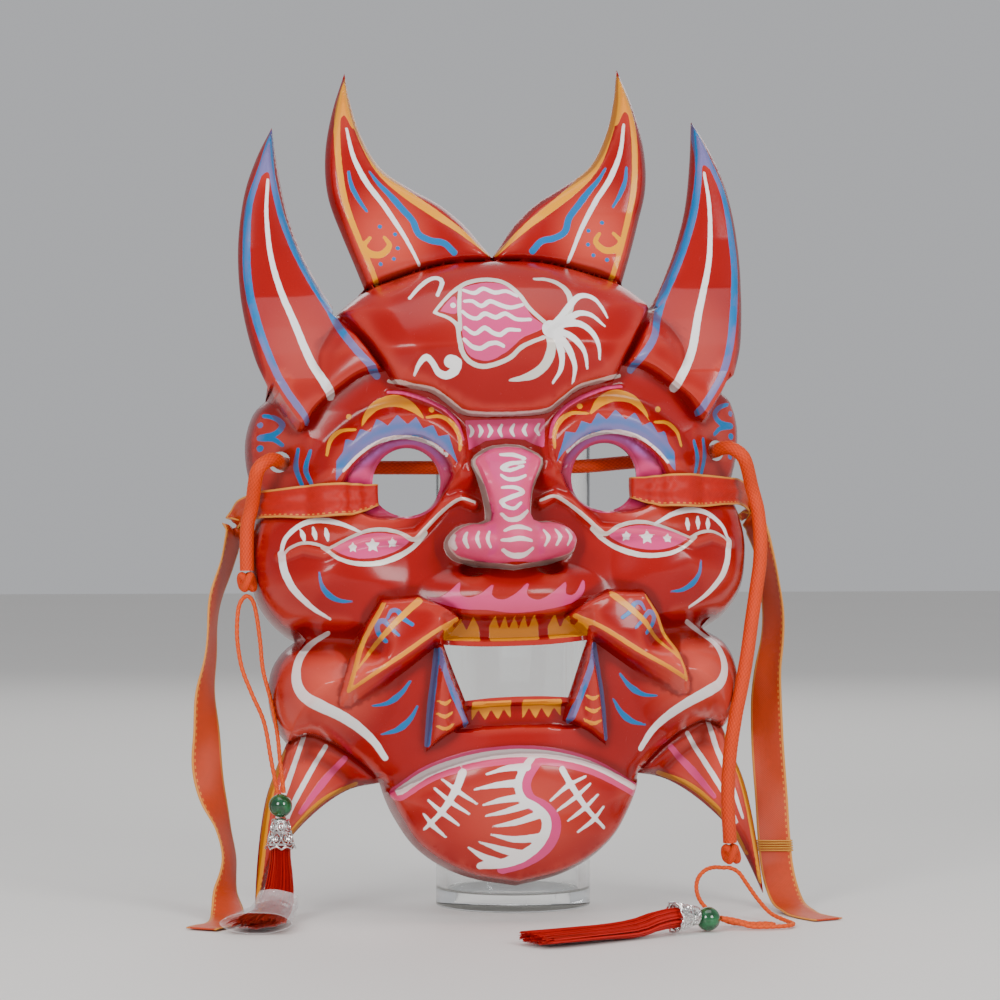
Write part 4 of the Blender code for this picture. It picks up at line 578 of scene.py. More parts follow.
# Where each ribbon turns on to the table and runs out: x, y, height over the table, turn
RIBBON_LEFT_TAIL = [(-0.1050, -0.0262, 0.0085, 48), (-0.1048, -0.0335, 0.0022, 26),
    (-0.1058, -0.0430, 0.0004, 6), (-0.1090, -0.0535, 0, -16), (-0.1150, -0.0630, 0, -30)]
RIBBON_RIGHT_TAIL = [(0.0942, -0.0262, 0.0070, 4), (0.0952, -0.0340, 0.0018, 0),
    (0.0965, -0.0440, 0.0004, 0), (0.0990, -0.0540, 0, 8), (0.1030, -0.0630, 0, 20)]


def spline(points, spacing):
    """Points at about the given spacing along a smooth curve through the given points."""
    knots = np.array(points, float)
    ends = np.vstack([2 * knots[0] - knots[1], knots, 2 * knots[-1] - knots[-2]])
    curve = []
    for i in range(len(knots) - 1):
        a, b, c, d = ends[i:i + 4]
        count = max(1, int(round(np.linalg.norm((c - b)[:3]) / spacing)))
        for step in range(count):
            t = step / count
            curve.append(0.5 * (2 * b + (c - a) * t + (2 * a - 5 * b + 4 * c - d) * t ** 2
                                + (3 * b - a - 3 * c + d) * t ** 3))
    curve.append(knots[-1])
    return np.array(curve)


def between(at, places, rows):
    """Rows of a table interpolated between the places they stand at."""
    return np.stack([np.interp(at, places, column) for column in np.asarray(rows).T], axis=-1)


def joined(stretches):
    """One line through stretches that meet in corners."""
    runs = [spline(stretch, OUTLINE_SPACING) for stretch in stretches]
    return np.vstack([runs[0]] + [run[1:] for run in runs[1:]])


def flipped(line):
    """The line on the mask's other half."""
    return np.array(line) * (-1, 1)


def closed_half(stretches):
    """A closed outline from half of it, whose two ends lie on the middle line."""
    half = joined(stretches)
    return np.vstack([half, flipped(half)[-2:0:-1]])


def closed_side(stretches):
    """A closed outline that lies on one side of the mask."""
    return joined(stretches)[:-1]


def turns_round(count):
    """Angles evenly spaced once round."""
    return np.arange(count) * WHOLE_TURN / count


def circle(centre, radius, sides):
    angles = turns_round(sides)
    return np.column_stack([centre[0] + radius * np.cos(angles), centre[1] + radius * np.sin(angles)])


def beside_edges(u, v, a, b, reach):
    """The points sorted by v, their order, and for each edge from a to b the run of them beside it."""
    order = np.argsort(np.ravel(v), kind="stable")
    across, up = np.ravel(u)[order], np.ravel(v)[order]
    first = np.searchsorted(up, np.minimum(a[:, 1], b[:, 1]) - reach)
    last = np.searchsorted(up, np.maximum(a[:, 1], b[:, 1]) + reach)
    return order, across, up, zip(a, b, first, last)


def in_first_order(values, order, like):
    """Values of sorted points put back in the points' own order and shape."""
    back = np.empty_like(values)
    back[order] = values
    return back.reshape(np.shape(like))


def line_distance(u, v, line, closed=True, reach=FAR):
    """Distance in the plane from each point to a line; beyond the reach it stays at the reach."""
    a = np.array(line, float)
    b = np.roll(a, -1, axis=0)
    if not closed:
        a, b = a[:-1], b[:-1]
    order, across, up, edges = beside_edges(u, v, a, b, reach)
    nearest = np.full(len(order), float(reach))
    for (au, av), (bu, bv), low, high in edges:
        pu, pv, du, dv = across[low:high] - au, up[low:high] - av, bu - au, bv - av
        t = np.clip((pu * du + pv * dv) / max(du * du + dv * dv, TINY), 0, 1)
        nearest[low:high] = np.minimum(nearest[low:high], np.hypot(pu - t * du, pv - t * dv))
    return in_first_order(nearest, order, u)


def inside(u, v, outline):
    """True where a point lies within a closed outline."""
    a = np.array(outline, float)
    order, across, up, edges = beside_edges(u, v, a, np.roll(a, -1, axis=0), 0.0)
    odd = np.zeros(len(order), bool)
    for (au, av), (bu, bv), low, high in edges:
        if av != bv:
            odd[low:high] ^= across[low:high] < au + (up[low:high] - av) * (bu - au) / (bv - av)
    return in_first_order(odd, order, u)


def on_mask(u, v, borders):
    """True within the mask's edge and outside its holes."""
    return inside(u, v, borders[0]) & ~np.any([inside(u, v, hole) for hole in borders[1:]], axis=0)


def depth_in(u, v, outline):
    """Distance from a closed outline, positive within it."""
    return line_distance(u, v, outline) * np.where(inside(u, v, outline), 1.0, -1.0)


def rise(distance, width):
    """0 outside, 1 beyond the width, with a smooth ramp between."""
    t = np.clip(distance / width, 0, 1)
    return t * t * (3 - 2 * t)


def bulge(distance, width):
    """0 at an edge, 1 beyond the width, swelling as a quarter round does."""
    t = np.clip(distance / width, 0, 1)
    return np.sqrt(1 - (1 - t) ** 2)


def dome(u, v, centre, radii):
    """A smooth mound, 1 in its middle and 0 outside an ellipse."""
    q = ((u - centre[0]) / radii[0]) ** 2 + ((v - centre[1]) / radii[1]) ** 2
    return np.clip(1 - q, 0, 1) ** 1.5


def mound(u, v, form):
    """A mound or hollow of the relief, from its height, middle and radii."""
    height, centre, radii = form
    return height * dome(u, v, centre, radii)


def plate(depth, step, swell, rounding):
    """A raised form with a sharp foot and a swelling top, from the depth within its outline."""
    return step * rise(depth, PLATE_EDGE) + swell * bulge(depth, rounding)


def by_height(v, profile):
    """Value at v along a profile of (v, value) rows."""
    return np.interp(v, [row[0] for row in profile], [row[1] for row in profile])


def mask_outlines():
    """The closed outlines that the relief is measured from, on the right-hand side or the whole."""
    return {
        "silhouette": closed_half(SILHOUETTE),
        "face": closed_half([CROWN, TEMPLE, EAR, CHEEK, JAW, JAW_UNDER, CHIN]),
        "forehead": closed_half([CROWN, HORN_ROOT[::-1], BROW_EDGE]),
        "outer_horn": closed_side([OUTER_HORN_EDGE, OUTER_HORN_BACK, HORN_SEAT, HORN_ROOT]),
        "inner_horn": closed_side([INNER_HORN_EDGE, INNER_HORN_BACK, CROWN[4::-1]]),
        "eye": closed_side([EYE_TOP, EYE_LOW]),
        "nose": closed_half([NOSE]),
        "tusk": closed_side(TUSK),
        "tusk_top": closed_side(TUSK_TOP),
        "fin": closed_side([FIN_EDGE, FIN_UNDER, JAW_UNDER[::-1]]),
        "fang": closed_side(FANG),
        "mouth": closed_half([MOUTH[:3], MOUTH[2:5], MOUTH[4:]]),
        "chin": closed_half([CHIN_TOP[::-1], CHIN]),
    }


def climb(u, v, foot, top):
    """0 at a foot outline, 1 within the smaller outline of the top that it leads up to."""
    up = np.clip(depth_in(u, v, foot), 0, None)
    left = np.clip(-depth_in(u, v, top), 0, None)
    return up / np.maximum(up + left, 1e-6)


def relief(u, v, lines):
    """Height of the mask's front surface over its rim plane, at points on its grid."""
    a = np.abs(u)
    in_face = depth_in(u, v, lines["face"])
    on_face = in_face > -EDGE_SLACK
    rim = by_height(v, RIM_PROFILE)
    fin = FIN_HEIGHT + (rim - FIN_HEIGHT) * (1 - rise(-in_face, FIN_FOOT))
    fin += FIN_SWELL * bulge(depth_in(a, v, lines["fin"]), FIN_ROUNDING)
    h = np.where(on_face, rim + (by_height(v, FACE_PROFILE) - rim) * bulge(in_face, FACE_ROUNDING), fin)

    # Ears, cheek and jaw lobes, with a hollow between cheek and jaw
    h += mound(a, v, EAR_HOLLOW) * on_face
    h += mound(a, v, CHEEK_LOBE)
    h += mound(a, v, JAW_LOBE)
    groove = JAW_GROOVE_REACH - line_distance(a, v, JAW_GROOVE, closed=False)
    h -= JAW_GROOVE_DEPTH * rise(groove, JAW_GROOVE_REACH) * on_face

    # The forehead swells over the bridge of the nose and ends there in an edge
    in_forehead = depth_in(u, v, lines["forehead"])
    h += plate(in_forehead, FOREHEAD_STEP, FOREHEAD_SWELL, FOREHEAD_ROUNDING)

    # Pillow of the brow, a thin raised line round it, and the sunken eye within its lids
    in_eye = depth_in(a, v, lines["eye"])
    above_cheek = rise(v - BROW_FROM, BROW_FULL_AFTER) * (1 - rise(in_forehead, PLATE_EDGE))
    h += BROW_RISE * rise(in_eye + BROW_WIDTH, BROW_SLOPE) * above_cheek
    line = BROW_LINE_RISE - line_distance(a, v, BROW_LINE, closed=False)
    h += BROW_LINE_RISE * rise(line, BROW_LINE_RISE)
    h -= LID_DROP * rise(in_eye, LID_EDGE) + SOCKET_DROP * rise(in_eye - LID_EDGE, SOCKET_SLOPE)

    # Nose, with its tip, its two wings and the nostrils
    in_nose = depth_in(u, v, lines["nose"])
    h += by_height(v, NOSE_PROFILE) * plate(in_nose, NOSE_STEP, NOSE_SWELL, NOSE_ROUNDING)
    h += mound(u, v, NOSE_TIP) + mound(a, v, NOSE_WING)
    h += mound(a, v, NOSTRIL)

    # Upper lip, the ridge from the nose round the cheek, the teeth and the lips
    h += mound(u, v, UPPER_LIP)
    ridge = CHEEK_RIDGE_REACH - line_distance(a, v, CHEEK_RIDGE, closed=False)
    h += CHEEK_RIDGE_RISE * rise(ridge, CHEEK_RIDGE_REACH)
    in_mouth = depth_in(u, v, lines["mouth"])
    h -= GUM_DROP * rise(in_mouth + GUM_WIDTH, LIP_EDGE) * rise(GUM_HALF - a, GUM_SLOPE)
    h += LIP_RISE * rise(in_mouth + LIP_WIDTH, LIP_EDGE)

    # Tusks, fangs and the chin stand on the face as plates
    h += TUSK_RISE * climb(a, v, lines["tusk"], lines["tusk_top"])
    h += TUSK_SWELL * bulge(depth_in(a, v, lines["tusk_top"]), TUSK_ROUNDING)
    h += plate(depth_in(a, v, lines["fang"]), FANG_RISE, FANG_SWELL, FANG_ROUNDING)
    in_chin = depth_in(u, v, lines["chin"])
    h += plate(in_chin, CHIN_STEP, CHIN_SWELL, CHIN_ROUNDING) * (in_chin > 0)

    # Horns lie over the face and stand free beyond it
    in_horn = depth_in(a, v, lines["outer_horn"])
    level = by_height(v, OUTER_HORN_PROFILE)
    climbing = np.maximum(h + HORN_LIFT - level, 0) * rise(in_face, HORN_CLIMB) * on_face
    horn = level + climbing + HORN_SWELL * bulge(in_horn, HORN_ROUNDING)
    over_face = on_face & (in_horn >= 0)
    h = np.where(over_face, h + (horn - h) * rise(in_horn, PLATE_EDGE), h)
    h = np.where((in_horn > -EDGE_SLACK) & ~on_face, horn, h)
    in_horn = depth_in(a, v, lines["inner_horn"])
    beyond = (in_horn > -EDGE_SLACK) & (in_face < EDGE_SLACK)
    level = by_height(v, INNER_HORN_PROFILE)
    free = level + HORN_SWELL * bulge(in_horn, HORN_ROUNDING)
    h = np.where(beyond, free, np.maximum(h, level - INNER_HORN_DIP + INNER_HORN_SLOPE * in_horn))

    # The rim all round is turned back a little
    return h - RIM_TURN * (1 - rise(depth_in(u, v, lines["silhouette"]), RIM_WIDTH))


def unit():
    """Metres in one mask unit."""
    return MASK_HEIGHT / MASK_SPAN


def mask_axes():
    """World directions of u, v and h."""
    lean, roll = math.radians(MASK_LEAN), math.radians(MASK_ROLL)
    up = np.array([0, math.sin(lean), math.cos(lean)])
    out = np.array([0, -math.cos(lean), math.sin(lean)])
    side = np.array([1.0, 0, 0])
    return (side * math.cos(roll) + up * math.sin(roll), up * math.cos(roll) - side * math.sin(roll), out)


def placed(u, v, h):
    """World points of mask points, in metres."""
    side, up, out = mask_axes()
    return np.array(MASK_ORIGIN) + unit() * (np.outer(u, side) + np.outer(v, up) + np.outer(h, out))


def lattice(lines, spacing, keep_off):
    """Grid points within the mask's edge that keep off the given lines."""
    rows = np.arange(-MASK_SPAN / 2 - GRID_MARGIN, MASK_SPAN / 2, spacing * math.sqrt(3) / 2)
    points = []
    for i, row in enumerate(rows):
        start = -GRID_HALF_WIDTH + (spacing / 2 if i % 2 else 0)
        points += [(x, row) for x in np.arange(start, GRID_HALF_WIDTH, spacing)]
    u, v = np.array(points).T
    near = np.min([line_distance(u, v, line, closed, spacing) for line, closed in keep_off], axis=0)
    keep = (depth_in(u, v, lines["silhouette"]) > 0) & (near > GRID_CLEARANCE * spacing)
    return np.column_stack([u[keep], v[keep]])


def triangulated(lines, borders, creases, spacing):
    """Triangles over the mask's plan, between its borders, with an edge along every crease."""
    loops = [(line, True) for line in borders] + creases
    points = [tuple(p) for p in lattice(lines, spacing, loops)]
    edges = []
    for line, closed in loops:
        first, count = len(points), len(line)
        points += [tuple(p) for p in line]
        edges += [(first + i, first + i + 1) for i in range(count - 1)]
        if closed:
            edges.append((first + count - 1, first))
    made = geometry.delaunay_2d_cdt([Vector(p) for p in points], edges, [], 0, 1e-4, False)
    plan = np.array([tuple(p) for p in made[0]])
    faces = np.array(made[2])
    middle = plan[faces].mean(axis=1)
    return plan, faces[on_mask(middle[:, 0], middle[:, 1], borders)]


def inset(line, distance):
    """A closed outline moved inwards."""
    points = np.array(line)
    after = np.roll(points, -1, axis=0)
    along = after - np.roll(points, 1, axis=0)
    normal = np.column_stack([-along[:, 1], along[:, 0]]) / np.linalg.norm(along, axis=1)[:, None]
    area = np.sum(points[:, 0] * after[:, 1] - after[:, 0] * points[:, 1])
    moved = points + normal * math.copysign(distance, area)
    keep = line_distance(moved[:, 0], moved[:, 1], points) > INSET_KEEPS * distance
    return moved[keep]


def mask_creases(lines):
    """Closed lines along which the front has an edge: the foot and the brink of each raised form."""
    creases = [(inset(lines["silhouette"], RIM_WIDTH), True)]
    creases += [(lines["face"], True), (inset(lines["face"], RIM_WIDTH), True)]
    for name in ("forehead", "nose", "chin"):
        creases += [(lines[name], True), (inset(lines[name], PLATE_EDGE), True)]
    for name, edge in (("outer_horn", PLATE_EDGE), ("eye", LID_EDGE), ("fang", PLATE_EDGE)):
        for line in (lines[name], inset(lines[name], edge)):
            creases += [(line, True), (flipped(line), True)]
    for name in ("tusk", "tusk_top"):
        creases += [(lines[name], True), (flipped(lines[name]), True)]
    return creases


def mask_borders(lines):
    """The mask's edge and its holes: mouth, eyes and the holes in the ears for the cord."""
    ear_hole = (CORD_DIAMETER / 2 + CORD_CLEARANCE) / unit()
    borders = [lines["silhouette"], lines["mouth"]]
    for side in (1, -1):
        eye = (side * EYE_HOLE_CENTRE[0], EYE_HOLE_CENTRE[1])
        ear = (side * EAR_HOLE_CENTRE[0], EAR_HOLE_CENTRE[1])
        borders += [circle(eye, EYE_HOLE_RADIUS, EYE_HOLE_SIDES), circle(ear, ear_hole, EAR_HOLE_SIDES)]
    return borders


def clear_runs(creases, borders, reach):
    """The stretches of each crease that keep off the borders, so that no border gains a corner."""
    kept = []
    for line, closed in creases:
        u, v = line.T
        clear = np.min([line_distance(u, v, border) for border in borders], axis=0) > reach
        clear &= on_mask(u, v, borders)
        if closed and clear.all():
            kept.append((line, True))
            continue
        if closed:
            first = int(np.argmin(clear))
            line, clear = np.roll(line, -first, axis=0), np.roll(clear, -first)
        for run in np.split(np.arange(len(line)), np.flatnonzero(np.diff(clear)) + 1):
            if clear[run[0]] and len(run) > 1:
                kept.append((line[run], False))
    return kept


def front_sheet(lines):
    """Plan, faces and heights of the mask's front."""
    borders = mask_borders(lines)
    creases = clear_runs(mask_creases(lines), borders, CREASE_REACH)
    plan, faces = triangulated(lines, borders, creases, FRONT_SPACING)
    return plan, faces, relief(plan[:, 0], plan[:, 1], lines)


def back_sheet(lines):
    """Plan, faces and heights of the hollow side, which is plainer and keeps a wall behind the front."""
    plan, faces = triangulated(lines, mask_borders(lines), [], BACK_SPACING)
    lowest = relief(plan[:, 0], plan[:, 1], lines)
    reach = np.where(edge_vertices(faces), 0.0, BACK_REACH)
    for angle in turns_round(BACK_DIRECTIONS):
        u = plan[:, 0] + reach * math.cos(angle)
        v = plan[:, 1] + reach * math.sin(angle)
        near = relief(u, v, lines)
        lowest = np.minimum(lowest, np.where(inside(u, v, lines["silhouette"]), near, lowest))
    for _ in range(BACK_EASING):
        lowest = np.where(reach > 0, np.minimum(lowest, neighbour_means(faces, lowest)), lowest)
    return plan, faces, lowest - SHELL_WALL / unit()


def neighbour_means(faces, values):
    """Each vertex's mean over its neighbours."""
    pairs = np.vstack([faces[:, [0, 1]], faces[:, [1, 2]], faces[:, [2, 0]]])
    ends, others = np.concatenate([pairs[:, 0], pairs[:, 1]]), np.concatenate([pairs[:, 1], pairs[:, 0]])
    return np.bincount(ends, weights=values[others], minlength=len(values)) / np.maximum(
        np.bincount(ends, minlength=len(values)), 1)


def edge_vertices(faces):
    """True for each vertex that lies on the border of a sheet."""
    counts = {}
    for a, b, c in faces:
        for pair in ((a, b), (b, c), (c, a)):
            key = (min(pair), max(pair))
            counts[key] = counts.get(key, 0) + 1
    rim = np.zeros(faces.max() + 1, bool)
    for (a, b), count in counts.items():
        if count == 1:
            rim[[a, b]] = True
    return rim


def near_box(u, v, line, reach):
    """Which points lie within reach of the box round a line."""
    low, high = np.min(line, axis=0) - reach, np.max(line, axis=0) + reach
    return np.flatnonzero((u > low[0]) & (u < high[0]) & (v > low[1]) & (v < high[1]))


def brush(depth, u, v, points, half_widths):
    """Lay a swelling brush stroke into a field of depths."""
    line = spline(points, STROKE_SPACING)
    along = np.linspace(0, len(half_widths) - 1, len(line))
    widths = np.interp(along, range(len(half_widths)), half_widths)
    near = near_box(u, v, line, PAINT_REACH + widths.max())
    pu, pv = u[near], v[near]
    best = np.full(len(near), -PAINT_REACH)
    for (au, av), (bu, bv), wide_a, wide_b in zip(line, line[1:], widths, widths[1:]):
        du, dv = bu - au, bv - av
        t = np.clip(((pu - au) * du + (pv - av) * dv) / max(du * du + dv * dv, TINY), 0, 1)
        away = np.hypot(pu - au - t * du, pv - av - t * dv)
        best = np.maximum(best, wide_a + (wide_b - wide_a) * t - away)
    depth[near] = np.maximum(depth[near], best)


def patch(depth, u, v, outline):
    """Lay a filled outline into a field of depths."""
    near = near_box(u, v, outline, PAINT_REACH)
    depth[near] = np.maximum(depth[near], depth_in(u[near], v[near], outline))


def rounded(points):
    """A closed outline smoothed through its points."""
    return spline(points + points[:1], STROKE_SPACING)[:-1]


def star(centre, radius):
    """A five-pointed star, one point up."""
    turns = np.pi / 2 + np.arange(10) * np.pi / 5
    reach = np.where(np.arange(10) % 2 == 0, radius, radius * STAR_WAIST)
    return np.column_stack([centre[0] + reach * np.cos(turns), centre[1] + reach * np.sin(turns)])


def painted(u, v, lines):
    """Depth within each paint colour at points of the mask's front, negative off the paint."""
    a = np.abs(u)
    depths = {colour: np.full(len(u), -PAINT_REACH) for colour in COLOURS}
    for across, strokes, patches in ((a, SIDE_STROKES, SIDE_PATCHES), (u, WHOLE_STROKES, WHOLE_PATCHES)):
        for colour, half_widths, rows in strokes:
            for points in rows:
                brush(depths[colour], across, v, points, half_widths)
        for colour, outlines in patches:
            for outline in outlines:
                patch(depths[colour], across, v, rounded(outline))
    for colour, outlines in SIDE_CORNERED:
        for outline in outlines:
            patch(depths[colour], a, v, outline)
    for colour, across, dots in (("blue", a, BLUE_DOTS), ("gold", a, GOLD_DOTS), ("white", u, WHITE_DOTS)):
        for cu, cv, radius in dots:
            depths[colour] = np.maximum(depths[colour], radius - np.hypot(across - cu, v - cv))
    for cu, cv, radius in CHEEK_STARS:
        patch(depths["white"], a, v, star((cu, cv), radius))
    patch(depths["pink"], u, v, BRIDGE_PATCH)
    for cu, side in BRIDGE_MARKS:
        brush(depths["white"], u, v, [(cu + side * bend, cv) for bend, cv in BRIDGE_MARK], MARK_WIDTHS)
    for cu in WING_MARKS:
        brush(depths["white"], a, v, [(cu + bend, cv) for bend, cv in WING_MARK], MARK_WIDTHS)
    in_nose = depth_in(u, v, lines["nose"])
    depths["pink"] = np.maximum(depths["pink"], np.minimum(in_nose - NOSE_MARGIN, v + NOSE_PINK_DOWN_TO))
    depths["silver"] = np.maximum(depths["silver"], NOSE_LINE - np.abs(in_nose - NOSE_LINE_INSET))
    # Painted highlight: a pink ring along the rim of each eye hole, where the cut edge catches the light
    hole = np.hypot(a - EYE_HOLE_CENTRE[0], v - EYE_HOLE_CENTRE[1]) - EYE_HOLE_RADIUS
    depths["pink"] = np.maximum(depths["pink"], EYE_RIM_HIGHLIGHT - np.abs(hole))
    return {colour: np.clip(depth, -PAINT_REACH, PAINT_REACH) for colour, depth in depths.items()}


def washes(u, v, lines):
    """Soft airbrushing: paleness over the swelling forms, partly airbrush and partly painted highlight,
    pink in the eye sockets, lilac under the brow.
    """
    a = np.abs(u)
    salmon = np.zeros(len(u))
    for centre, radii, strength in SALMON_AND_HIGHLIGHT_MOUNDS:
        salmon = np.maximum(salmon, strength * dome(a, v, centre, radii))
    in_eye = depth_in(a, v, lines["eye"])
    socket = rise(in_eye - SOCKET_WASH[0], SOCKET_WASH[1])
    fading = 1 - rise(in_eye - LILAC_OUT[0], LILAC_OUT[1])
    lilac = rise(in_eye - LILAC_IN[0], LILAC_IN[1]) * fading * rise(v - LILAC_ABOVE[0], LILAC_ABOVE[1])
    return {"salmon": salmon, "socket": socket, "lilac": lilac}


def hollowness(faces, height):
    """How far each point lies below the surface around it, in mask units: positive in creases."""
    smooth = height
    for _ in range(HOLLOW_STEPS):
        smooth = neighbour_means(faces, smooth)
    return smooth - height


def frames_along(centres, sides):
    """Unit side and normal directions for each station of a strip."""
    centres, sides = np.array(centres), np.array(sides)
    along = np.gradient(centres, axis=0)
    along /= np.linalg.norm(along, axis=1)[:, None]
    sides = sides - along * np.sum(sides * along, axis=1)[:, None]
    sides /= np.linalg.norm(sides, axis=1)[:, None]
    return sides, np.cross(along, sides)


def ribbon_strip(side, fall, tail, lines):
    """Middle, sideways direction and width of a ribbon from the eye, over the cheek and down."""
    up = mask_axes()[1]
    lift = (FIT_GAP + RIBBON_THICKNESS / 2) / unit()
    face = np.array(RIBBON_FACE)
    across = np.linspace(face[0, 0], face[-1, 0], RIBBON_FACE_STEPS)
    laid = []
    for u, v, share, over in RIBBON_HOLE + between(across, face[:, 0], face).tolist():
        half = share * RIBBON_WIDTH / unit() / 2
        near_u, near_v = np.meshgrid(u + np.linspace(-1.5, 1.5, 4), v + half * np.linspace(-1, 1, 7))
        laid.append((u, v, share, relief(side * near_u, near_v, lines).max() + lift + over))
    stations = [(*placed([side * u], [v], [height])[0], *up, share * RIBBON_WIDTH)
                for u, v, share, height in laid + RIBBON_WRAP]
    down = FLOOR_GAP + RIBBON_THICKNESS / 2
    for x, y, z, turn in fall + [(x, y, down + z, turn) for x, y, z, turn in tail]:
        angle = math.radians(turn)
        stations.append((x, y, z, -side * math.cos(angle), math.sin(angle), 0, RIBBON_WIDTH))
    return spline(stations, RIBBON_STATION)


def skirt_radii(share):
    """Half width and half thickness of a tassel's skirt along its length."""
    neck = [(SKIRT_NECK_SHARE, CAP_MOUTH_DIAMETER / 2 * CAP_WAIST - CAP_WALL - FIT_GAP)]
    return by_height(share, neck + SKIRT_HALF_WIDTHS), by_height(share, neck + SKIRT_HALF_DEPTHS)


def ear_hole_points(side, lines):
    """The cord's points through one ear hole, from in front of the mask to behind it."""
    right, up, out = mask_axes()
    u, v = side * EAR_HOLE_CENTRE[0], EAR_HOLE_CENTRE[1]
    around = circle((u, v), (CORD_DIAMETER / 2 + CORD_CLEARANCE) / unit(), EAR_HOLE_SIDES)
    h = relief(around[:, 0], around[:, 1], lines).mean() - SHELL_WALL / unit() / 2
    middle = placed([u], [v], [h])[0]
    steps = CORD_OUT[::-1] + [(0, 0, 0)] + CORD_IN
    return [tuple(middle + right * side * a + up * b + out * c) for a, b, c in steps]


# Shader groups and materials

class Field:
    """A value that varies over a surface, to be added to, multiplied and compared as a number is."""

    def __init__(self, tree, socket):
        self.tree, self.socket = tree, socket

    def maths(self, operation, *values, **settings):
        return add(self.tree, "Math", 0, enumerate(values), operation=operation, **settings)

    def __add__(self, other):
        return self.maths("ADD", self, other)

    def __sub__(self, other):
        return self.maths("SUBTRACT", self, other)

    def __rsub__(self, other):
        return self.maths("SUBTRACT", other, self)

    def __mul__(self, other):
        return self.maths("MULTIPLY", self, other)

    def __abs__(self):
        return self.maths("ABSOLUTE", self)

    def sine(self):
        return self.maths("SINE", self)

    def at_least(self, other):
        return self.maths("MAXIMUM", self, other)

    def ramp(self, low, high):
        """0 at low, 1 at high."""
        return add(self.tree, "MapRange", "Result", {"Value": self, "From Min": low, "From Max": high},
                   interpolation_type="SMOOTHSTEP")


def feed(tree, socket, value):
    """Set a socket to a number, vector or colour, or link a field to it."""
    if isinstance(value, Field):
        tree.links.new(value.socket, socket)
    else:
        socket.default_value = (*value, 1.0) if socket.type == "RGBA" else value


def add(tree, kind, output, inputs=(), **settings):
    """An output of a new node with the given settings and inputs."""
    node = tree.nodes.new("ShaderNode" + kind)
    for name, value in settings.items():
        setattr(node, name, value)
    for label, value in dict(inputs).items():
        feed(tree, node.inputs[label], value)
    return Field(tree, node.outputs[output])


def noise(tree, vector, scale, detail, roughness=0.5):
    return add(tree, "TexNoise", "Fac",
               {"Vector": vector, "Scale": scale, "Detail": detail, "Roughness": roughness})


def object_place(tree):
    return add(tree, "TexCoord", "Object")


def own_map(tree):
    """The two fields of a piece's own map."""
    place = add(tree, "UVMap", "UV")
    return [add(tree, "SeparateXYZ", name, {0: place}) for name in "XY"]


def attribute(tree, name):
    return add(tree, "Attribute", "Fac", attribute_name=name)


def mixed(share, first, second):
    """One colour over another."""
    return add(share.tree, "Mix", 2, {0: share, 6: first, 7: second}, data_type="RGBA")


def shaded(colour, share):
    return tuple(min(1.0, part * share) for part in colour)


def paint_edge_fields(tree, depth, softness, wobble):
    """A painted area's mask from its depth, with the slight wobble of a hand-held brush."""
    waver = noise(tree, object_place(tree), 420.0, 2.0) - 0.5
    return {"Mask": (depth + waver * wobble).ramp(softness * -1.0, softness)}


def grain_fields(tree, fine, cloud):
    """Fine unevenness of a moulded or polished surface, and broader clouds in it."""
    place = object_place(tree)
    return {"Height": noise(tree, place, fine, 4.0), "Clouds": noise(tree, place, cloud, 3.0)}


def scuff_fields(tree, scale, amount):
    """Hairline scuffs and specks from handling and dusting."""
    place = object_place(tree)
    stretched = add(tree, "Mapping", 0,
                    {"Vector": place, "Scale": (1.0, 1.0, 0.12), "Rotation": (0.3, 0.5, 0.2)})
    scratches = noise(tree, stretched, scale, 5.0, 0.7).ramp(0.62, 0.74)
    marks = scratches.at_least(noise(tree, place, 1500.0, 1.0).ramp(0.72, 0.8))
    return {"Mask": marks.maths("MULTIPLY", marks, amount, use_clamp=True)}


def braid_fields(tree, strands, lay):
    """Crossing strands of a braid from its map: U once round, V in strand lengths."""
    u, v = own_map(tree)
    around, along = u * strands * math.pi, v * lay * math.pi
    height = abs((around + along).sine()) * abs((around - along).sine())
    # Gaps marks where the materials paint shade between the strands
    return {"Height": height, "Gaps": 1.0 - height.ramp(0.0, 0.35)}


def fibre_fields(tree, across, along):
    """Light and dark threads along a bundle or a weave, from its map."""
    u, v = own_map(tree)
    twill = abs(((u * across + v * along) * math.pi).sine())
    return {"Height": twill, "Shade": noise(tree, object_place(tree), 700.0, 3.0)}


# Shader groups: name, inputs with their defaults and the function that makes their outputs
GROUPS = [
    ("paint edge", {"Depth": 0.0, "Softness": 0.12, "Wobble": 0.3}, paint_edge_fields),
    ("surface grain", {"Fine Scale": 900.0, "Cloud Scale": 40.0}, grain_fields),
    ("handling scuffs", {"Scale": 260.0, "Amount": 0.5}, scuff_fields),
    ("braid", {"Strands": 8.0, "Lay": 1.0}, braid_fields),
    ("fibres", {"Across": 30.0, "Along": 900.0}, fibre_fields),
]
# Scale of each surface's fine grain and of its clouds
GRAINS = {"plastic": (650.0, 26.0), "acrylic": (300.0, 30.0), "cord": (2500.0, 60.0),
          "jade": (900.0, 260.0), "silver": (2200.0, 500.0), "silk": (3000.0, 200.0),
          "film": (500.0, 140.0), "floor": (300.0, 4.0)}
# Sheen of each cloth: weight, roughness and tint
SHEENS = {"cord": (0.3, 0.4, (1.0, 0.35, 0.05)), "silk": (0.4, 0.3, (1.0, 0.2, 0.05)),
          "satin": (0.3, 0.25, (1.0, 0.25, 0.05))}


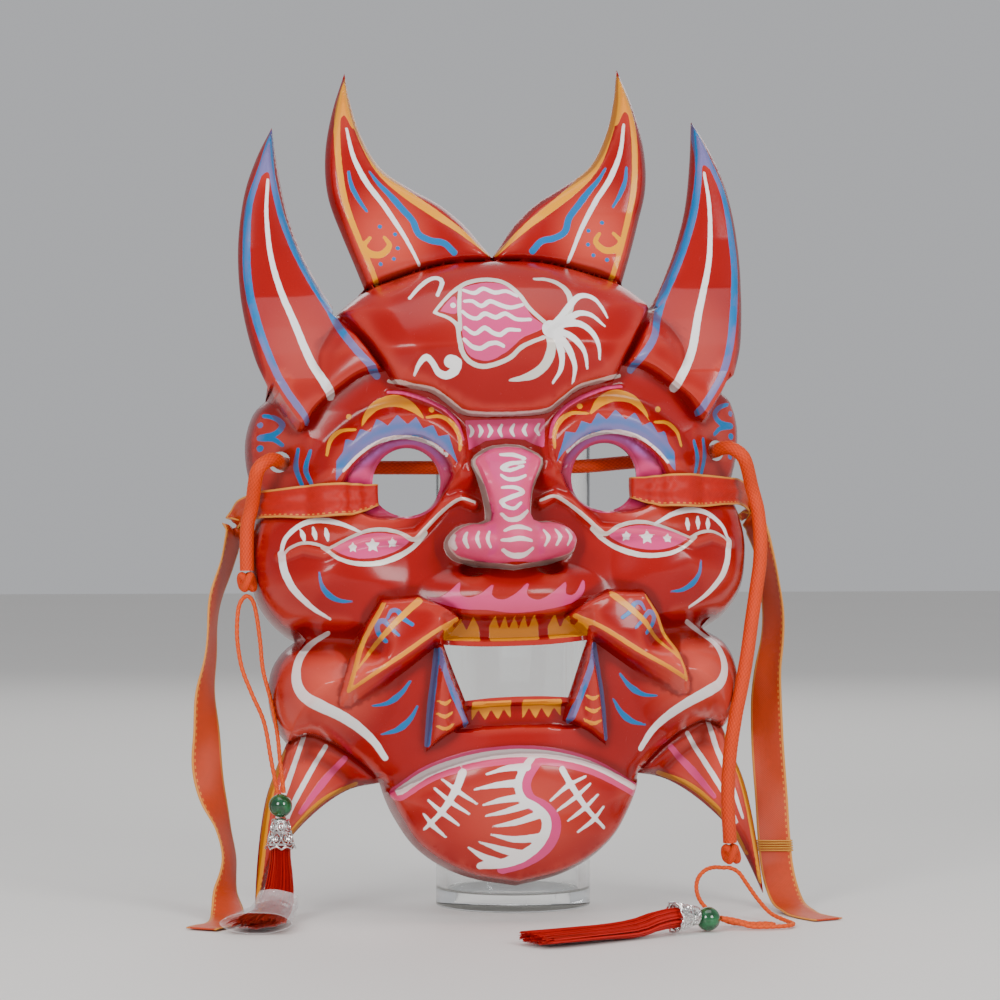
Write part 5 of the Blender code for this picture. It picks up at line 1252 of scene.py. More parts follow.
def make_groups():
    for name, numbers, fields in GROUPS:
        tree = bpy.data.node_groups.new(name, "ShaderNodeTree")
        for label, default in numbers.items():
            socket = tree.interface.new_socket(label, in_out="INPUT", socket_type="NodeSocketFloat")
            socket.default_value = default
        given = tree.nodes.new("NodeGroupInput").outputs
        made = fields(tree, *(Field(tree, given[label]) for label in numbers))
        for label in made:
            tree.interface.new_socket(label, in_out="OUTPUT", socket_type="NodeSocketFloat")
        out = tree.nodes.new("NodeGroupOutput")
        for label, value in made.items():
            feed(tree, out.inputs[label], value)


def use_group(tree, group, *outputs, **values):
    """The named outputs of a shader group."""
    node = tree.nodes.new("ShaderNodeGroup")
    node.node_tree = bpy.data.node_groups[group]
    for label, value in values.items():
        feed(tree, node.inputs[label.replace("_", " ")], value)
    return [Field(tree, node.outputs[label]) for label in outputs]


def grain(tree, surface):
    fine, cloud = GRAINS[surface]
    return use_group(tree, "surface grain", "Height", "Clouds", Fine_Scale=fine, Cloud_Scale=cloud)


def new_material(name):
    made = bpy.data.materials.new(name)
    made.use_nodes = True
    return made, made.node_tree


def finish(made, bump=None, sheen=None, **settings):
    """Set a material's shader; bump is a height field and its distance, sheen the name of a cloth."""
    tree = made.node_tree
    if bump:
        settings["Normal"] = add(tree, "Bump", "Normal", {"Height": bump[0], "Distance": bump[1]})
    if sheen:
        weight, rough, tint = SHEENS[sheen]
        settings.update(Sheen_Weight=weight, Sheen_Roughness=rough, Sheen_Tint=tint, Specular_IOR_Level=0.3)
    for label, value in settings.items():
        feed(tree, tree.nodes["Principled BSDF"].inputs[label.replace("_", " ")], value)
    return made


def painted_plastic(paint):
    """Glossy red moulding with its painted ornament, painted shade in its creases, and brinks paled partly
    by wear and partly by painted highlight.
    """
    made, tree = new_material("painted red plastic")
    fine, clouds = grain(tree, "plastic")
    tint = clouds.ramp(0.3, 0.7)
    colour = mixed(tint, shaded(paint.base, 0.86), paint.base)
    # The salmon wash is partly airbrush and partly painted highlight on the swelling forms
    for name, wash, strength in (("salmon", paint.salmon, 0.62), ("socket", paint.pink, 0.85),
                                 ("lilac", paint.lilac, 0.7)):
        colour = mixed(attribute(tree, name) * strength, colour, wash)
    masks = {}
    for name in COLOURS:
        masks[name], = use_group(tree, "paint edge", "Mask", Depth=attribute(tree, name))
        full = getattr(paint, name)
        colour = mixed(masks[name], colour, mixed(tint, shaded(full, 0.9), full))
    covered = masks[COLOURS[0]]
    for name in COLOURS[1:]:
        covered = covered.at_least(masks[name])
    hollow = attribute(tree, "hollow")
    # Painted shade: deep red in the creases, where the surface lies below its surroundings
    colour = mixed(hollow.ramp(0.05, 0.9) * 0.6, colour, shaded(paint.base, 0.35))
    # Brinks standing above their surroundings paled towards salmon: partly wear, partly painted highlight
    colour = mixed((hollow * -1.0).ramp(0.25, 1.0) * 0.22, colour, paint.salmon)
    scuffs, = use_group(tree, "handling scuffs", "Mask", Amount=0.35)
    return finish(made, Base_Color=colour, Roughness=covered * 0.1 + scuffs * 0.25 + 0.22,
                  Metallic=masks["silver"] * 0.25, Specular_IOR_Level=0.3, Coat_Weight=0.1,
                  Coat_Roughness=0.05, bump=(fine * 0.25 + covered, 0.00006))


def clear_acrylic():
    """Polished clear tube with faint scuffs, which lets most light through to the floor."""
    made, tree = new_material("clear acrylic")
    _, clouds = grain(tree, "acrylic")
    scuffs, = use_group(tree, "handling scuffs", "Mask", Amount=0.3)
    return finish(made, Base_Color=mixed(clouds, (0.93, 0.95, 0.95), (0.99, 1.0, 1.0)),
                  Roughness=scuffs + 0.02, IOR=1.49, Transmission_Weight=1.0,
                  Alpha=1.0 - add(tree, "LightPath", "Is Shadow Ray") * 0.85, bump=(clouds, 0.00012))


def braided_cord(name, base, strands, lay):
    """Braid of satin thread, with painted shade between its strands."""
    made, tree = new_material(name)
    height, gap_shade = use_group(tree, "braid", "Height", "Gaps", Strands=float(strands), Lay=float(lay))
    fine, clouds = grain(tree, "cord")
    colour = mixed(clouds, shaded(base, 0.82), shaded(base, 1.1))
    return finish(made, Base_Color=mixed(gap_shade * 0.4, colour, shaded(base, 0.3)), Roughness=0.55,
                  sheen="cord", bump=(height + fine * 0.4, 0.00014))


def polished_jade(base):
    made, tree = new_material("green jade")
    fine, clouds = grain(tree, "jade")
    return finish(made, Base_Color=mixed(clouds.ramp(0.35, 0.65), shaded(base, 0.35), base),
                  Roughness=fine * 0.08 + 0.05, Coat_Weight=0.6, Coat_Roughness=0.03,
                  Subsurface_Weight=0.15, Subsurface_Scale=0.002)


def plated_silver(base):
    """Bright plating, tarnished in patches."""
    made, tree = new_material("plated silver")
    fine, clouds = grain(tree, "silver")
    tarnish = clouds.ramp(0.52, 0.72)
    return finish(made, Base_Color=mixed(tarnish, base, shaded(base, 0.45)),
                  Roughness=tarnish * 0.25 + 0.14, Metallic=1.0, bump=(fine, 0.00003))


def tassel_silk(base):
    """Silk threads, each its own shade."""
    made, tree = new_material("red silk")
    colour = mixed(attribute(tree, "strand"), shaded(base, 0.55), shaded(base, 1.25))
    fine, clouds = grain(tree, "silk")
    return finish(made, Base_Color=mixed(clouds * 0.35, colour, shaded(base, 0.5)), Roughness=0.42,
                  sheen="silk", bump=(fine, 0.00005))


def clear_film(base):
    """Thin crinkled film."""
    made, tree = new_material("clear film")
    _, clouds = grain(tree, "film")
    return finish(made, Base_Color=mixed(clouds, shaded(base, 0.9), base), Roughness=0.06, Alpha=0.24,
                  Coat_Weight=0.5, Coat_Roughness=0.05, bump=(clouds, 0.0008))


def ribbon_satin(base, hem):
    """Twilled satin with firmer edges, their orange partly the selvage and partly painted sheen, painted
    orange light on the falls beyond the fold, and a line of hem stitching.
    """
    made, tree = new_material("ribbon satin")
    twill, shade = use_group(tree, "fibres", "Height", "Shade", Across=14.0, Along=1300.0)
    across, along = own_map(tree)
    edge = abs(across - 0.5).ramp(0.42, 0.46)
    colour = mixed(shade, shaded(base, 0.8), shaded(base, 1.15))
    colour = mixed(twill * 0.18, colour, shaded(base, 0.5))
    # Painted light: the falls beyond the fold a little more orange
    colour = mixed(along.ramp(0.052, 0.085) * 0.09, colour, hem)
    # Orange edges: partly the firmer selvage, partly painted sheen
    colour = mixed(edge * 0.6, colour, hem)
    stitch = (along * 2800.0).sine().ramp(-0.1, 0.3)
    line = 1.0 - abs(across - 0.1).ramp(0.012, 0.03)
    return finish(made, Base_Color=mixed(line * stitch * 0.5, colour, hem), Roughness=0.36, sheen="satin",
                  bump=(twill * 0.5 + edge, 0.00012))


def gold_thread(base):
    made, tree = new_material("gold thread")
    height, gap_shade = use_group(tree, "braid", "Height", "Gaps", Strands=3.0, Lay=1600.0)
    # Painted shade between the thread's strands
    return finish(made, Base_Color=mixed(gap_shade, base, shaded(base, 0.35)), Roughness=0.38, Metallic=0.55,
                  bump=(height, 0.00008))


def pale_floor(base):
    made, tree = new_material("pale floor")
    _, clouds = grain(tree, "floor")
    return finish(made, Base_Color=mixed(clouds, shaded(base, 0.97), base), Roughness=0.6)


# Pieces

def dress(piece, slot, *nodes):
    """Let a finished piece move with the part and stand for its nodes."""
    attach(piece, BODY)
    if nodes:
        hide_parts(*nodes)
    return piece


def place_mesh(name, mesh, surface, sharp=math.radians(50)):
    """Put a finished mesh in the scene under its name, smooth but for its sharp edges."""
    mesh.materials.append(surface)
    mesh.shade_smooth()
    mesh.set_sharp_from_angle(angle=sharp)
    piece = bpy.data.objects.new(name, mesh)
    bpy.context.scene.collection.objects.link(piece)
    return piece


def place_shape(name, shape, surface, sharp=math.radians(50)):
    """Put a finished bmesh in the scene under its name."""
    mesh = bpy.data.meshes.new(name)
    shape.to_mesh(mesh)
    shape.free()
    return place_mesh(name, mesh, surface, sharp)


def turned(profile, sides):
    """A body turned about Z from a closed outline of radius and height."""
    shape = bmesh.new()
    verts = [shape.verts.new((r, 0, z)) for r, z in profile]
    edges = [shape.edges.new(pair) for pair in zip(verts, verts[1:] + verts[:1])
             if max(pair[0].co.x, pair[1].co.x) > 0]
    bmesh.ops.spin(shape, geom=verts + edges, cent=(0, 0, 0), axis=(0, 0, 1), angle=WHOLE_TURN,
                   steps=sides, use_merge=True)
    bmesh.ops.remove_doubles(shape, verts=shape.verts[:], dist=1e-6)
    bmesh.ops.recalc_face_normals(shape, faces=shape.faces[:])
    return shape


def rings_along(points, radii, sides, closed=False):
    """Round rings square to a line; radii is a number, one for each point, or one for each ring corner."""
    points = np.array(points, float)
    if closed:
        along = np.roll(points, -1, axis=0) - np.roll(points, 1, axis=0)
    else:
        along = np.gradient(points, axis=0)
    along /= np.linalg.norm(along, axis=1)[:, None]
    side = np.cross(along[0], (0, 0, 1))
    if np.linalg.norm(side) < 0.1:
        side = np.cross(along[0], (1, 0, 0))
    across = np.empty_like(points)
    for i, step in enumerate(along):
        side = side - step * np.dot(side, step)
        side = side / np.linalg.norm(side)
        across[i] = side
    if closed:
        across = untwisted(across, along)
    turns = turns_round(sides)[None, :, None]
    if np.ndim(radii) < 2:
        radii = np.reshape(radii, (-1, 1))
    radii = np.broadcast_to(radii, (len(points), sides))
    spokes = across[:, None] * np.cos(turns) + np.cross(along, across)[:, None] * np.sin(turns)
    return points[:, None] + radii[..., None] * spokes


def untwisted(across, along):
    """Spread the turn that a closed line's frames gather evenly round it."""
    last = across[-1] - along[0] * np.dot(across[-1], along[0])
    gap = math.atan2(np.dot(np.cross(last, across[0]), along[0]), np.dot(last, across[0]))
    turns = (np.arange(len(across)) + 1) / len(across) * gap
    return across * np.cos(turns)[:, None] + np.cross(along, across) * np.sin(turns)[:, None]


def skin(rings, closed=False, caps=True):
    """Corners, faces and face maps of a skin over rings; the map runs once round and in metres along."""
    rings = np.array(rings)
    count, sides = rings.shape[:2]
    middles = rings.mean(axis=1)
    lengths = lengths_along(np.vstack([middles, middles[:1]]) if closed else middles)
    faces, maps = [], []
    for k in range(count if closed else count - 1):
        low, high = k * sides, (k + 1) % count * sides
        for i in range(sides):
            j = (i + 1) % sides
            faces.append((low + i, low + j, high + j, high + i))
            maps += [(i / sides, lengths[k]), ((i + 1) / sides, lengths[k]),
                     ((i + 1) / sides, lengths[k + 1]), (i / sides, lengths[k + 1])]
    if caps and not closed:
        for first, order in ((0, range(sides - 1, -1, -1)), ((count - 1) * sides, range(sides))):
            faces.append(tuple(first + i for i in order))
            maps += [(i / sides, 0.0) for i in order]
    return rings.reshape(-1, 3), faces, maps


def lengths_along(points):
    """Length run at each point of a line."""
    return np.concatenate([[0], np.cumsum(np.linalg.norm(np.diff(points, axis=0), axis=1))])


def add_values(mesh, name, values):
    """Keep a number for each vertex under a name that shaders can read."""
    mesh.attributes.new(name, "FLOAT", "POINT").data.foreach_set("value", values.astype(np.float32))


def skinned_mesh(name, skins, strand=None):
    """One mesh from several skins, with their maps, and a shade for each skin if given."""
    corners, faces, maps, shades = [], [], [], []
    for number, (points, skin_faces, skin_maps) in enumerate(skins):
        start = len(corners)
        corners.extend(points.tolist())
        faces.extend(tuple(start + i for i in face) for face in skin_faces)
        maps.extend(skin_maps)
        if strand is not None:
            shades.extend([strand[number]] * len(points))
    mesh = bpy.data.meshes.new(name)
    mesh.from_pydata(corners, [], faces)
    layer = mesh.uv_layers.new(name="length")
    layer.uv.foreach_set("vector", np.array(maps, np.float32).ravel())
    if strand is not None:
        add_values(mesh, "strand", np.array(shades))
    with edited(mesh) as shape:
        bmesh.ops.recalc_face_normals(shape, faces=shape.faces[:])
    return mesh


@contextmanager
def edited(mesh):
    """A mesh opened as a bmesh, and written back afterwards."""
    shape = bmesh.new()
    shape.from_mesh(mesh)
    yield shape
    shape.to_mesh(mesh)
    shape.free()


def turn_to(axis):
    """The turn that lays +Z along an axis."""
    return Vector((0, 0, 1)).rotation_difference(Vector(axis)).to_matrix()


def lay_shape(shape, axis, place):
    """Lay a shape built round +Z along an axis, at a place."""
    bmesh.ops.rotate(shape, verts=shape.verts[:], cent=(0, 0, 0), matrix=turn_to(axis))
    bmesh.ops.translate(shape, verts=shape.verts[:], vec=place)
    return shape


def open_edges(faces, count):
    """Directed edges of a sheet that belong to one triangle only."""
    starts = faces.ravel()
    ends = np.roll(faces, -1, axis=1).ravel()
    alone = ~np.isin(starts * count + ends, ends * count + starts)
    return np.column_stack([starts[alone], ends[alone]])


def make_mask_skin(paint):
    """The moulded face with its ornament: front sheet, hollow back sheet and the edge between them."""
    lines = mask_outlines()
    front, front_faces, front_height = front_sheet(lines)
    back, back_faces, back_height = back_sheet(lines)
    count = len(front)
    corners = np.vstack([placed(*front.T, front_height), placed(*back.T, back_height)])
    behind = {(round(u, 3), round(v, 3)): count + i for i, (u, v) in enumerate(back)}
    faces = [tuple(f) for f in front_faces.tolist()] + [(c + count, b + count, a + count)
                                                        for a, b, c in back_faces.tolist()]
    for a, b in open_edges(front_faces, count).tolist():
        back_a = behind[(round(front[a, 0], 3), round(front[a, 1], 3))]
        back_b = behind[(round(front[b, 0], 3), round(front[b, 1], 3))]
        faces.append((b, a, back_a, back_b))
    mesh = bpy.data.meshes.new("mask_skin")
    mesh.from_pydata(corners.tolist(), [], faces)
    fields = {name: (depth, -PAINT_REACH) for name, depth in painted(*front.T, lines).items()}
    fields.update({name: (share, 0.0) for name, share in washes(*front.T, lines).items()})
    # How far each point is sunk, which drives the painted shade in creases and the paler brinks
    fields["hollow"] = (hollowness(front_faces, front_height), 0.0)
    for name, (values, on_back) in fields.items():
        values = np.concatenate([values, np.full(len(back), on_back)])
        add_values(mesh, name, values)
    with edited(mesh) as shape:
        bmesh.ops.delete(shape, geom=[vert for vert in shape.verts if not vert.link_faces], context="VERTS")
    return dress(place_mesh("mask_skin", mesh, painted_plastic(paint)), "red_plastic", "mask_shell")


def make_clear_stand():
    """The clear tube with its thick floor and polished, eased edges, and a fillet of glue inside."""
    low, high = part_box("display_stand")
    outer, top = (high.x - low.x) / 2, high.z
    bore, ease = outer - STAND_TUBE_WALL, STAND_EDGE
    profile = [(0, 0)] + eased(outer, 0, -ease, ease) + eased(outer, top, -ease, -ease, math.cos, math.sin)
    profile += eased(bore, top, ease, -ease)
    profile += eased(bore, STAND_FLOOR, -GLUE_FILLET, GLUE_FILLET, math.cos, math.sin) + [(0, STAND_FLOOR)]
    stand = place_shape("stand_clear", turned(profile, STAND_SIDES), clear_acrylic(), math.radians(30))
    return dress(stand, "clear_acrylic", "display_stand")


def eased(r, z, across, up, first=math.sin, second=math.cos):
    """A quarter round in a corner of a turned outline, reaching across and up from the corner."""
    return [(r + across * (1 - first(t)), z + up * (1 - second(t))) for t in EDGE_TURNS]


def braid_radii(line, diameter, sides, strands, lay):
    """Radius at each corner of a braided cord, standing out where its strands cross over."""
    lengths = lengths_along(line)[:, None]
    turns = np.arange(sides)[None, :] / sides
    weave = np.abs(np.sin(math.pi * (strands * turns + lay * lengths))
                   * np.sin(math.pi * (strands * turns - lay * lengths)))
    return diameter / 2 * (1 - BRAID_DEPTH + BRAID_DEPTH * weave)


def twist_radii(line, diameter, sides, pitch):
    """Radius at each corner of a cord laid from two strands."""
    lengths = lengths_along(line)[:, None]
    turns = turns_round(sides)[None, :]
    strand = np.abs(np.cos(turns - math.pi * lengths / pitch))
    return diameter / 2 * (1 - THIN_GROOVE + THIN_GROOVE * strand)


def tied_knot(name, node, surface):
    """A knot tied in the cord: three interlaced turns that fill the knot's place in the frame."""
    low, high = (np.array(corner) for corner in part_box(node))
    radius = KNOT_STRAND / 2
    reach = (high - low)[:2].min() / 2 - radius
    tall = (high - low)[2] / 2 - radius
    t = turns_round(KNOT_STEPS)
    loops = np.column_stack([(np.sin(t) + 2 * np.sin(2 * t)) * reach / 3,
                             (np.cos(t) - 2 * np.cos(2 * t)) * reach / 3, -np.sin(3 * t) * tall])
    line = loops + (low + high) / 2
    radii = braid_radii(line, KNOT_STRAND, KNOT_SIDES, KNOT_STRANDS, KNOT_LAY)
    mesh = skinned_mesh(name, [skin(rings_along(line, radii, KNOT_SIDES, closed=True), closed=True)])
    return dress(place_mesh(name, mesh, surface), "orange_cord", node)


def cord_path(lines):
    """The thick cord's line: from the left knot through both ears, behind the face, to the right knot."""
    route = CORD_LEFT + ear_hole_points(-1, lines) + CORD_BEHIND
    return spline(route + ear_hole_points(1, lines)[::-1] + CORD_RIGHT, CORD_STEP)


def make_face_cord(trim):
    """The braided cord through the ears with a knot at each end."""
    braid = braided_cord("orange braid", trim.cord, trim.strands, CORD_LAY)
    path = cord_path(mask_outlines())
    radii = braid_radii(path, CORD_DIAMETER, CORD_SIDES, trim.strands, CORD_LAY)
    mesh = skinned_mesh("braided_cord", [skin(rings_along(path, radii, CORD_SIDES))])
    cord = dress(place_mesh("braided_cord", mesh, braid), "orange_cord", "face_cord")
    knots = [tied_knot("tied_knot_" + side, "cord_knot_" + side, braid) for side in ("left", "right")]
    float(lengths_along(path)[-1])
    return cord


def make_tassel_cord(side, route, trim):
    """A thin twisted loop from the tassel's bead over the knot and back."""
    name = "thin_cord_" + side
    path = spline(route, THIN_STEP)
    radii = twist_radii(path, TASSEL_CORD_DIAMETER, THIN_SIDES, THIN_PITCH)
    mesh = skinned_mesh(name, [skin(rings_along(path, radii, THIN_SIDES))])
    surface = bpy.data.materials.get("orange thread")
    surface = surface or braided_cord("orange thread", trim.thread, THIN_STRANDS, THIN_LAY)
    cord = dress(place_mesh(name, mesh, surface), "orange_thread", "tassel_cord_" + side)
    float(lengths_along(path)[-1])
    return cord


def make_bead(side, place, axis, surface):
    """A jade bead with its bore."""
    radius = BEAD_DIAMETER / 2
    bite = math.asin(BEAD_BORE / radius)
    turns = np.linspace(bite, math.pi - bite, BEAD_RINGS)
    arc = [(radius * math.sin(t), radius * math.cos(t)) for t in turns]
    name = "bored_bead_" + side
    shape = lay_shape(turned(arc, BEAD_SIDES), axis, place)
    return dress(place_shape(name, shape, surface), "green_jade", "jade_bead_" + side)


def on_bell(turn, share, lift=0.0):
    """A point on the cap's bell, at a turn round it and a share of its height."""
    r = by_height(share, CAP_BELL) - CAP_WIRE + lift
    return np.column_stack([r * np.cos(turn), r * np.sin(turn), share * CAP_HEIGHT])


def make_cap(side, mouth, axis, surface):
    """The openwork bell: rings, ovals and a scalloped mouth of wire under a turned crown."""
    t = turns_round(CAP_STEPS)
    wires = [(on_bell(t, np.full(CAP_STEPS, share)), wire) for share, wire in CAP_RINGS]
    wires.append((on_bell(t, 0.05 + 0.08 * np.abs(np.sin(CAP_PETALS / 2 * t)), 0.0002), CAP_WIRE))
    a = turns_round(CAP_OVAL_STEPS)
    for petals, middle, half, wide in CAP_OVALS:
        for k in range(petals):
            for across, along, lift, wire in CAP_OVAL_WIRES:
                around = (k + 0.5) * WHOLE_TURN / petals + wide * across * np.sin(a)
                wires.append((on_bell(around, middle + half * along * np.cos(a), lift), CAP_WIRE * wire))
    turn = np.array(turn_to(axis))
    skins = []
    for points, radius in wires:
        rings = rings_along(points, radius, WIRE_SIDES, closed=True)
        corners, faces, maps = skin(rings, closed=True)
        skins.append((corners @ turn.T + np.array(mouth), faces, maps))
    crown = lay_shape(turned([(r * CAP_TOP_DIAMETER / 2, z * CAP_HEIGHT) for r, z in CAP_CROWN], CAP_STEPS),
                      axis, mouth)
    crown_mesh = bpy.data.meshes.new("crown")
    crown.to_mesh(crown_mesh)
    crown.free()
    name = "openwork_cap_" + side
    mesh = skinned_mesh(name, skins)
    with edited(mesh) as shape:
        shape.from_mesh(crown_mesh)
    bpy.data.meshes.remove(crown_mesh)
    return dress(place_mesh(name, mesh, surface), "silver", "silver_cap_" + side)


def route_frames(route, across):
    """A function that gives the middle, side and outward direction at shares of a route's length."""
    lengths = lengths_along(route)
    tables = (route, *frames_along(route, [across] * len(route)))
    return lambda at: [between(at, lengths / lengths[-1], table) for table in tables]


def make_tassel(side, route, across, count, surface):
    """A bundle of silk threads along a route, tight in its cap and loose at its tips."""
    name = "silk_tassel_" + side
    draws = np.random.default_rng(SILK_SEEDS[side])
    frames = route_frames(route, across)
    steps = np.linspace(0, 1, THREAD_STEPS)
    skins, shades = [], []
    for _ in range(count):
        turn, out = draws.uniform(0, WHOLE_TURN), draws.uniform() ** 0.55
        end, wave = draws.uniform(0.9, 1.0), draws.uniform(0.3, 1.2)
        phase, lean = draws.uniform(0, WHOLE_TURN), draws.uniform(-0.12, 0.12)
        at = steps * end
        wide, deep = skirt_radii(at)
        sway = lean * at + THREAD_SWAY * np.sin(WHOLE_TURN * wave * at + phase) * at
        x, y = out * math.cos(turn) + sway, out * math.sin(turn) * (1 - THREAD_SINK * at)
        middle, right, normal = frames(at)
        line = middle + right * (x * wide)[:, None] + normal * (y * deep)[:, None]
        line[:, 2] = np.maximum(line[:, 2], THREAD_RADIUS + FLOOR_GAP)
        skins.append(skin(rings_along(line, THREAD_RADIUS * (1 - THREAD_TAPER * at), THREAD_SIDES)))
        shades.append(draws.uniform())
    mesh = skinned_mesh(name, skins, shades)
    return dress(place_mesh(name, mesh, surface), "red_silk", "tassel_" + side)


def make_film(route, across, surface):
    """The crinkled clear sleeve round the lower part of the left tassel."""
    name = "crinkled_film_left"
    draws = np.random.default_rng(SILK_SEEDS["film"])
    frames = route_frames(route, across)
    phases = draws.uniform(0, WHOLE_TURN, (FILM_CRINKLES, 2))
    pitches = draws.uniform(1, 7, (FILM_CRINKLES, 2)).round()
    turns = turns_round(FILM_SIDES)
    lens = np.sin(turns) * np.abs(np.sin(turns)) ** FILM_FULLNESS
    rings = []
    for at in np.linspace(FILM_FROM, FILM_TO, FILM_STEPS):
        middle, side, out = frames(at)
        wide, deep = skirt_radii(at)
        crinkle = sum(np.sin(p * turns + a) * np.sin(q * FILM_WAVES * at + b)
                      for (p, q), (a, b) in zip(pitches, phases)) / FILM_CRINKLES
        extra = FILM_GAP * (1 + FILM_DEPTH * crinkle)
        ring = (middle + side * ((wide + extra + FILM_FLARE * at) * np.cos(turns))[:, None]
                + out * ((deep + extra) * lens)[:, None])
        ring[:, 2] = np.maximum(ring[:, 2], FLOOR_GAP + FILM_WALL / 2)
        rings.append(ring)
    piece = place_mesh(name, skinned_mesh(name, [skin(rings, caps=False)]), surface, math.pi)
    thicken(piece, FILM_WALL)
    return dress(piece, "clear_film", "film_sleeve_left")


def thicken(piece, wall):
    made = piece.modifiers.new("thickness", "SOLIDIFY")
    made.thickness = wall
    made.offset = 0.0


def tassel_routes():
    """Place and direction of each tassel's bead and cap, and the line of its skirt."""
    crown_below = BEAD_DIAMETER / 2 + FIT_GAP + CAP_HEIGHT
    mouth = np.array(BEAD_LEFT) - (0, 0, crown_below)
    top, flat = mouth[2] + CAP_INSERT, SKIRT_THICKNESS / 2 + FLOOR_GAP + FILM_GAP
    hanging = [(mouth[0] + x, mouth[1] - y, top - drop * (top - flat)) for x, y, drop in SKIRT_LEFT_BEND]
    heading = math.radians(RIGHT_TASSEL_HEADING)
    ahead = np.array([math.cos(heading), math.sin(heading), 0])
    bead = np.array([*BEAD_RIGHT, BEAD_DIAMETER / 2 + FLOOR_GAP])
    lying_mouth = bead + ahead * crown_below
    lying_mouth[2] = CAP_MOUTH_DIAMETER / 2 + FLOOR_GAP
    low = SKIRT_THICKNESS / 2 + FLOOR_GAP
    before, over = SKIRT_RIGHT_SINKS
    lying = []
    for share in np.linspace(0, 1, 8):
        height = lying_mouth[2] + (low - lying_mouth[2]) * float(rise(share - before, over))
        lying.append(lying_mouth * (1, 1, 0) + ahead * (share * SKIRT_LENGTH - CAP_INSERT) + (0, 0, height))
    left = (BEAD_LEFT, (0, 0, 1), mouth, spline(hanging, SKIRT_STEP), (1, 0, 0))
    right = (bead, -ahead, lying_mouth, spline(lying, SKIRT_STEP), (-ahead[1], ahead[0], 0))
    return {"left": left, "right": right}


def make_tassels(trim):
    """Bead, cap, silk and thin cord of both tassels, and the film round the left one."""
    jade, plate = polished_jade(trim.jade), plated_silver(trim.plate)
    silk, film = tassel_silk(trim.silk), clear_film(trim.film)
    for side, (bead_at, axis, mouth, route, across) in tassel_routes().items():
        bead = make_bead(side, tuple(bead_at), tuple(axis), jade)
        hung = [bead, make_cap(side, mouth, tuple(axis), plate), "tassel_" + side]
        make_tassel(side, route, across, trim.threads, silk)
        if side == "left":
            make_film(route, across, film)
            hung.append("film_sleeve_left")
        make_tassel_cord(side, {"left": TASSEL_CORD_LEFT, "right": TASSEL_CORD_RIGHT}[side], trim)


def make_ribbon(side_name, side, fall, tail, lines, surface):
    """A satin ribbon from the eye over the cheek and down, gathered on the face and fluttering below."""
    name = "satin_ribbon_" + side_name
    strip = ribbon_strip(side, fall, tail, lines)
    across, normals = frames_along(strip[:, :3], strip[:, 3:6])
    lengths = lengths_along(strip[:, :3])
    shape = bmesh.new()
    shape.loops.layers.uv.new("length")
    rows = len(strip)
    bmesh.ops.create_grid(shape, x_segments=RIBBON_ACROSS, y_segments=rows - 1, size=0.5, calc_uvs=True)
    verts = sorted(shape.verts, key=lambda vert: (round((vert.co.y + 0.5) * (rows - 1)), vert.co.x))
    layer = shape.loops.layers.uv[0]
    spots = {}
    for number, vert in enumerate(verts):
        row, x = number // (RIBBON_ACROSS + 1), vert.co.x
        width = strip[row, 6]
        share = min(1.0, width / RIBBON_WIDTH)
        gathered = min(GATHER_LIMIT, width / (GATHER_FOLDS * math.pi) * math.sqrt(1 / share - 1))
        fold = gathered * (1 + math.cos(2 * math.pi * GATHER_FOLDS * x)) * side
        fold *= float(rise(lengths[row] - GATHER_FROM, GATHER_FROM))
        cupped = RIBBON_CUP * (1 - 4 * x * x)
        wave = math.sin(WHOLE_TURN * lengths[row] / RIBBON_WAVE)
        flutter = RIBBON_FLUTTER * wave * 4 * x * x * share ** 6
        spots[vert] = (x + 0.5, lengths[row])
        place = strip[row, :3] + across[row] * x * width + normals[row] * (fold + cupped + flutter)
        place[2] = max(place[2], FLOOR_GAP + RIBBON_THICKNESS / 2)
        vert.co = place
    for face in shape.faces:
        for loop in face.loops:
            loop[layer].uv = spots[loop.vert]
    bmesh.ops.recalc_face_normals(shape, faces=shape.faces[:])
    piece = place_shape(name, shape, surface, math.pi)
    thicken(piece, RIBBON_THICKNESS * SATIN_SHARE)
    dress(piece, "red_satin", "ribbon_" + side_name)
    return strip


def make_ribbon_band(strip, surface):
    """Turns of gold thread round the right ribbon."""
    low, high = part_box("ribbon_band_right")
    free = strip[(strip[:, 2] < 2 * BAND_Z) & (strip[:, 2] > BAND_Z / 2)]
    free = free[np.argsort(free[:, 2])]
    skins = []
    for z in np.linspace(low.z + BAND_THREAD, high.z - BAND_THREAD, BAND_TURNS):
        row = between(z, free[:, 2], free)
        side = row[3:6] / np.linalg.norm(row[3:6])
        out = np.cross(side, (0, 0, 1))
        t = turns_round(BAND_STEPS)
        half_wide, half_deep = RIBBON_WIDTH / 2 + BAND_THREAD, RIBBON_THICKNESS / 2 + BAND_THREAD + FIT_GAP
        wide = np.sign(np.cos(t)) * np.abs(np.cos(t)) ** BAND_FULLNESS * half_wide
        deep = np.sign(np.sin(t)) * np.abs(np.sin(t)) ** BAND_FULLNESS * half_deep
        points = row[:3] + side * wide[:, None] + out * deep[:, None]
        rings = rings_along(points, BAND_THREAD / 2 * BAND_WIRE, WIRE_SIDES, closed=True)
        skins.append(skin(rings, closed=True))
    return dress(place_mesh("gold_band_right", skinned_mesh("gold_band_right", skins), surface),
                 "gold_thread", "ribbon_band_right")


def make_ribbons(trim):
    lines = mask_outlines()
    satin = ribbon_satin(trim.satin, trim.hem)
    make_ribbon("left", -1, RIBBON_LEFT_FALL, RIBBON_LEFT_TAIL, lines, satin)
    strip = make_ribbon("right", 1, RIBBON_RIGHT_FALL, RIBBON_RIGHT_TAIL, lines, satin)
    make_ribbon_band(strip, gold_thread(trim.hem))


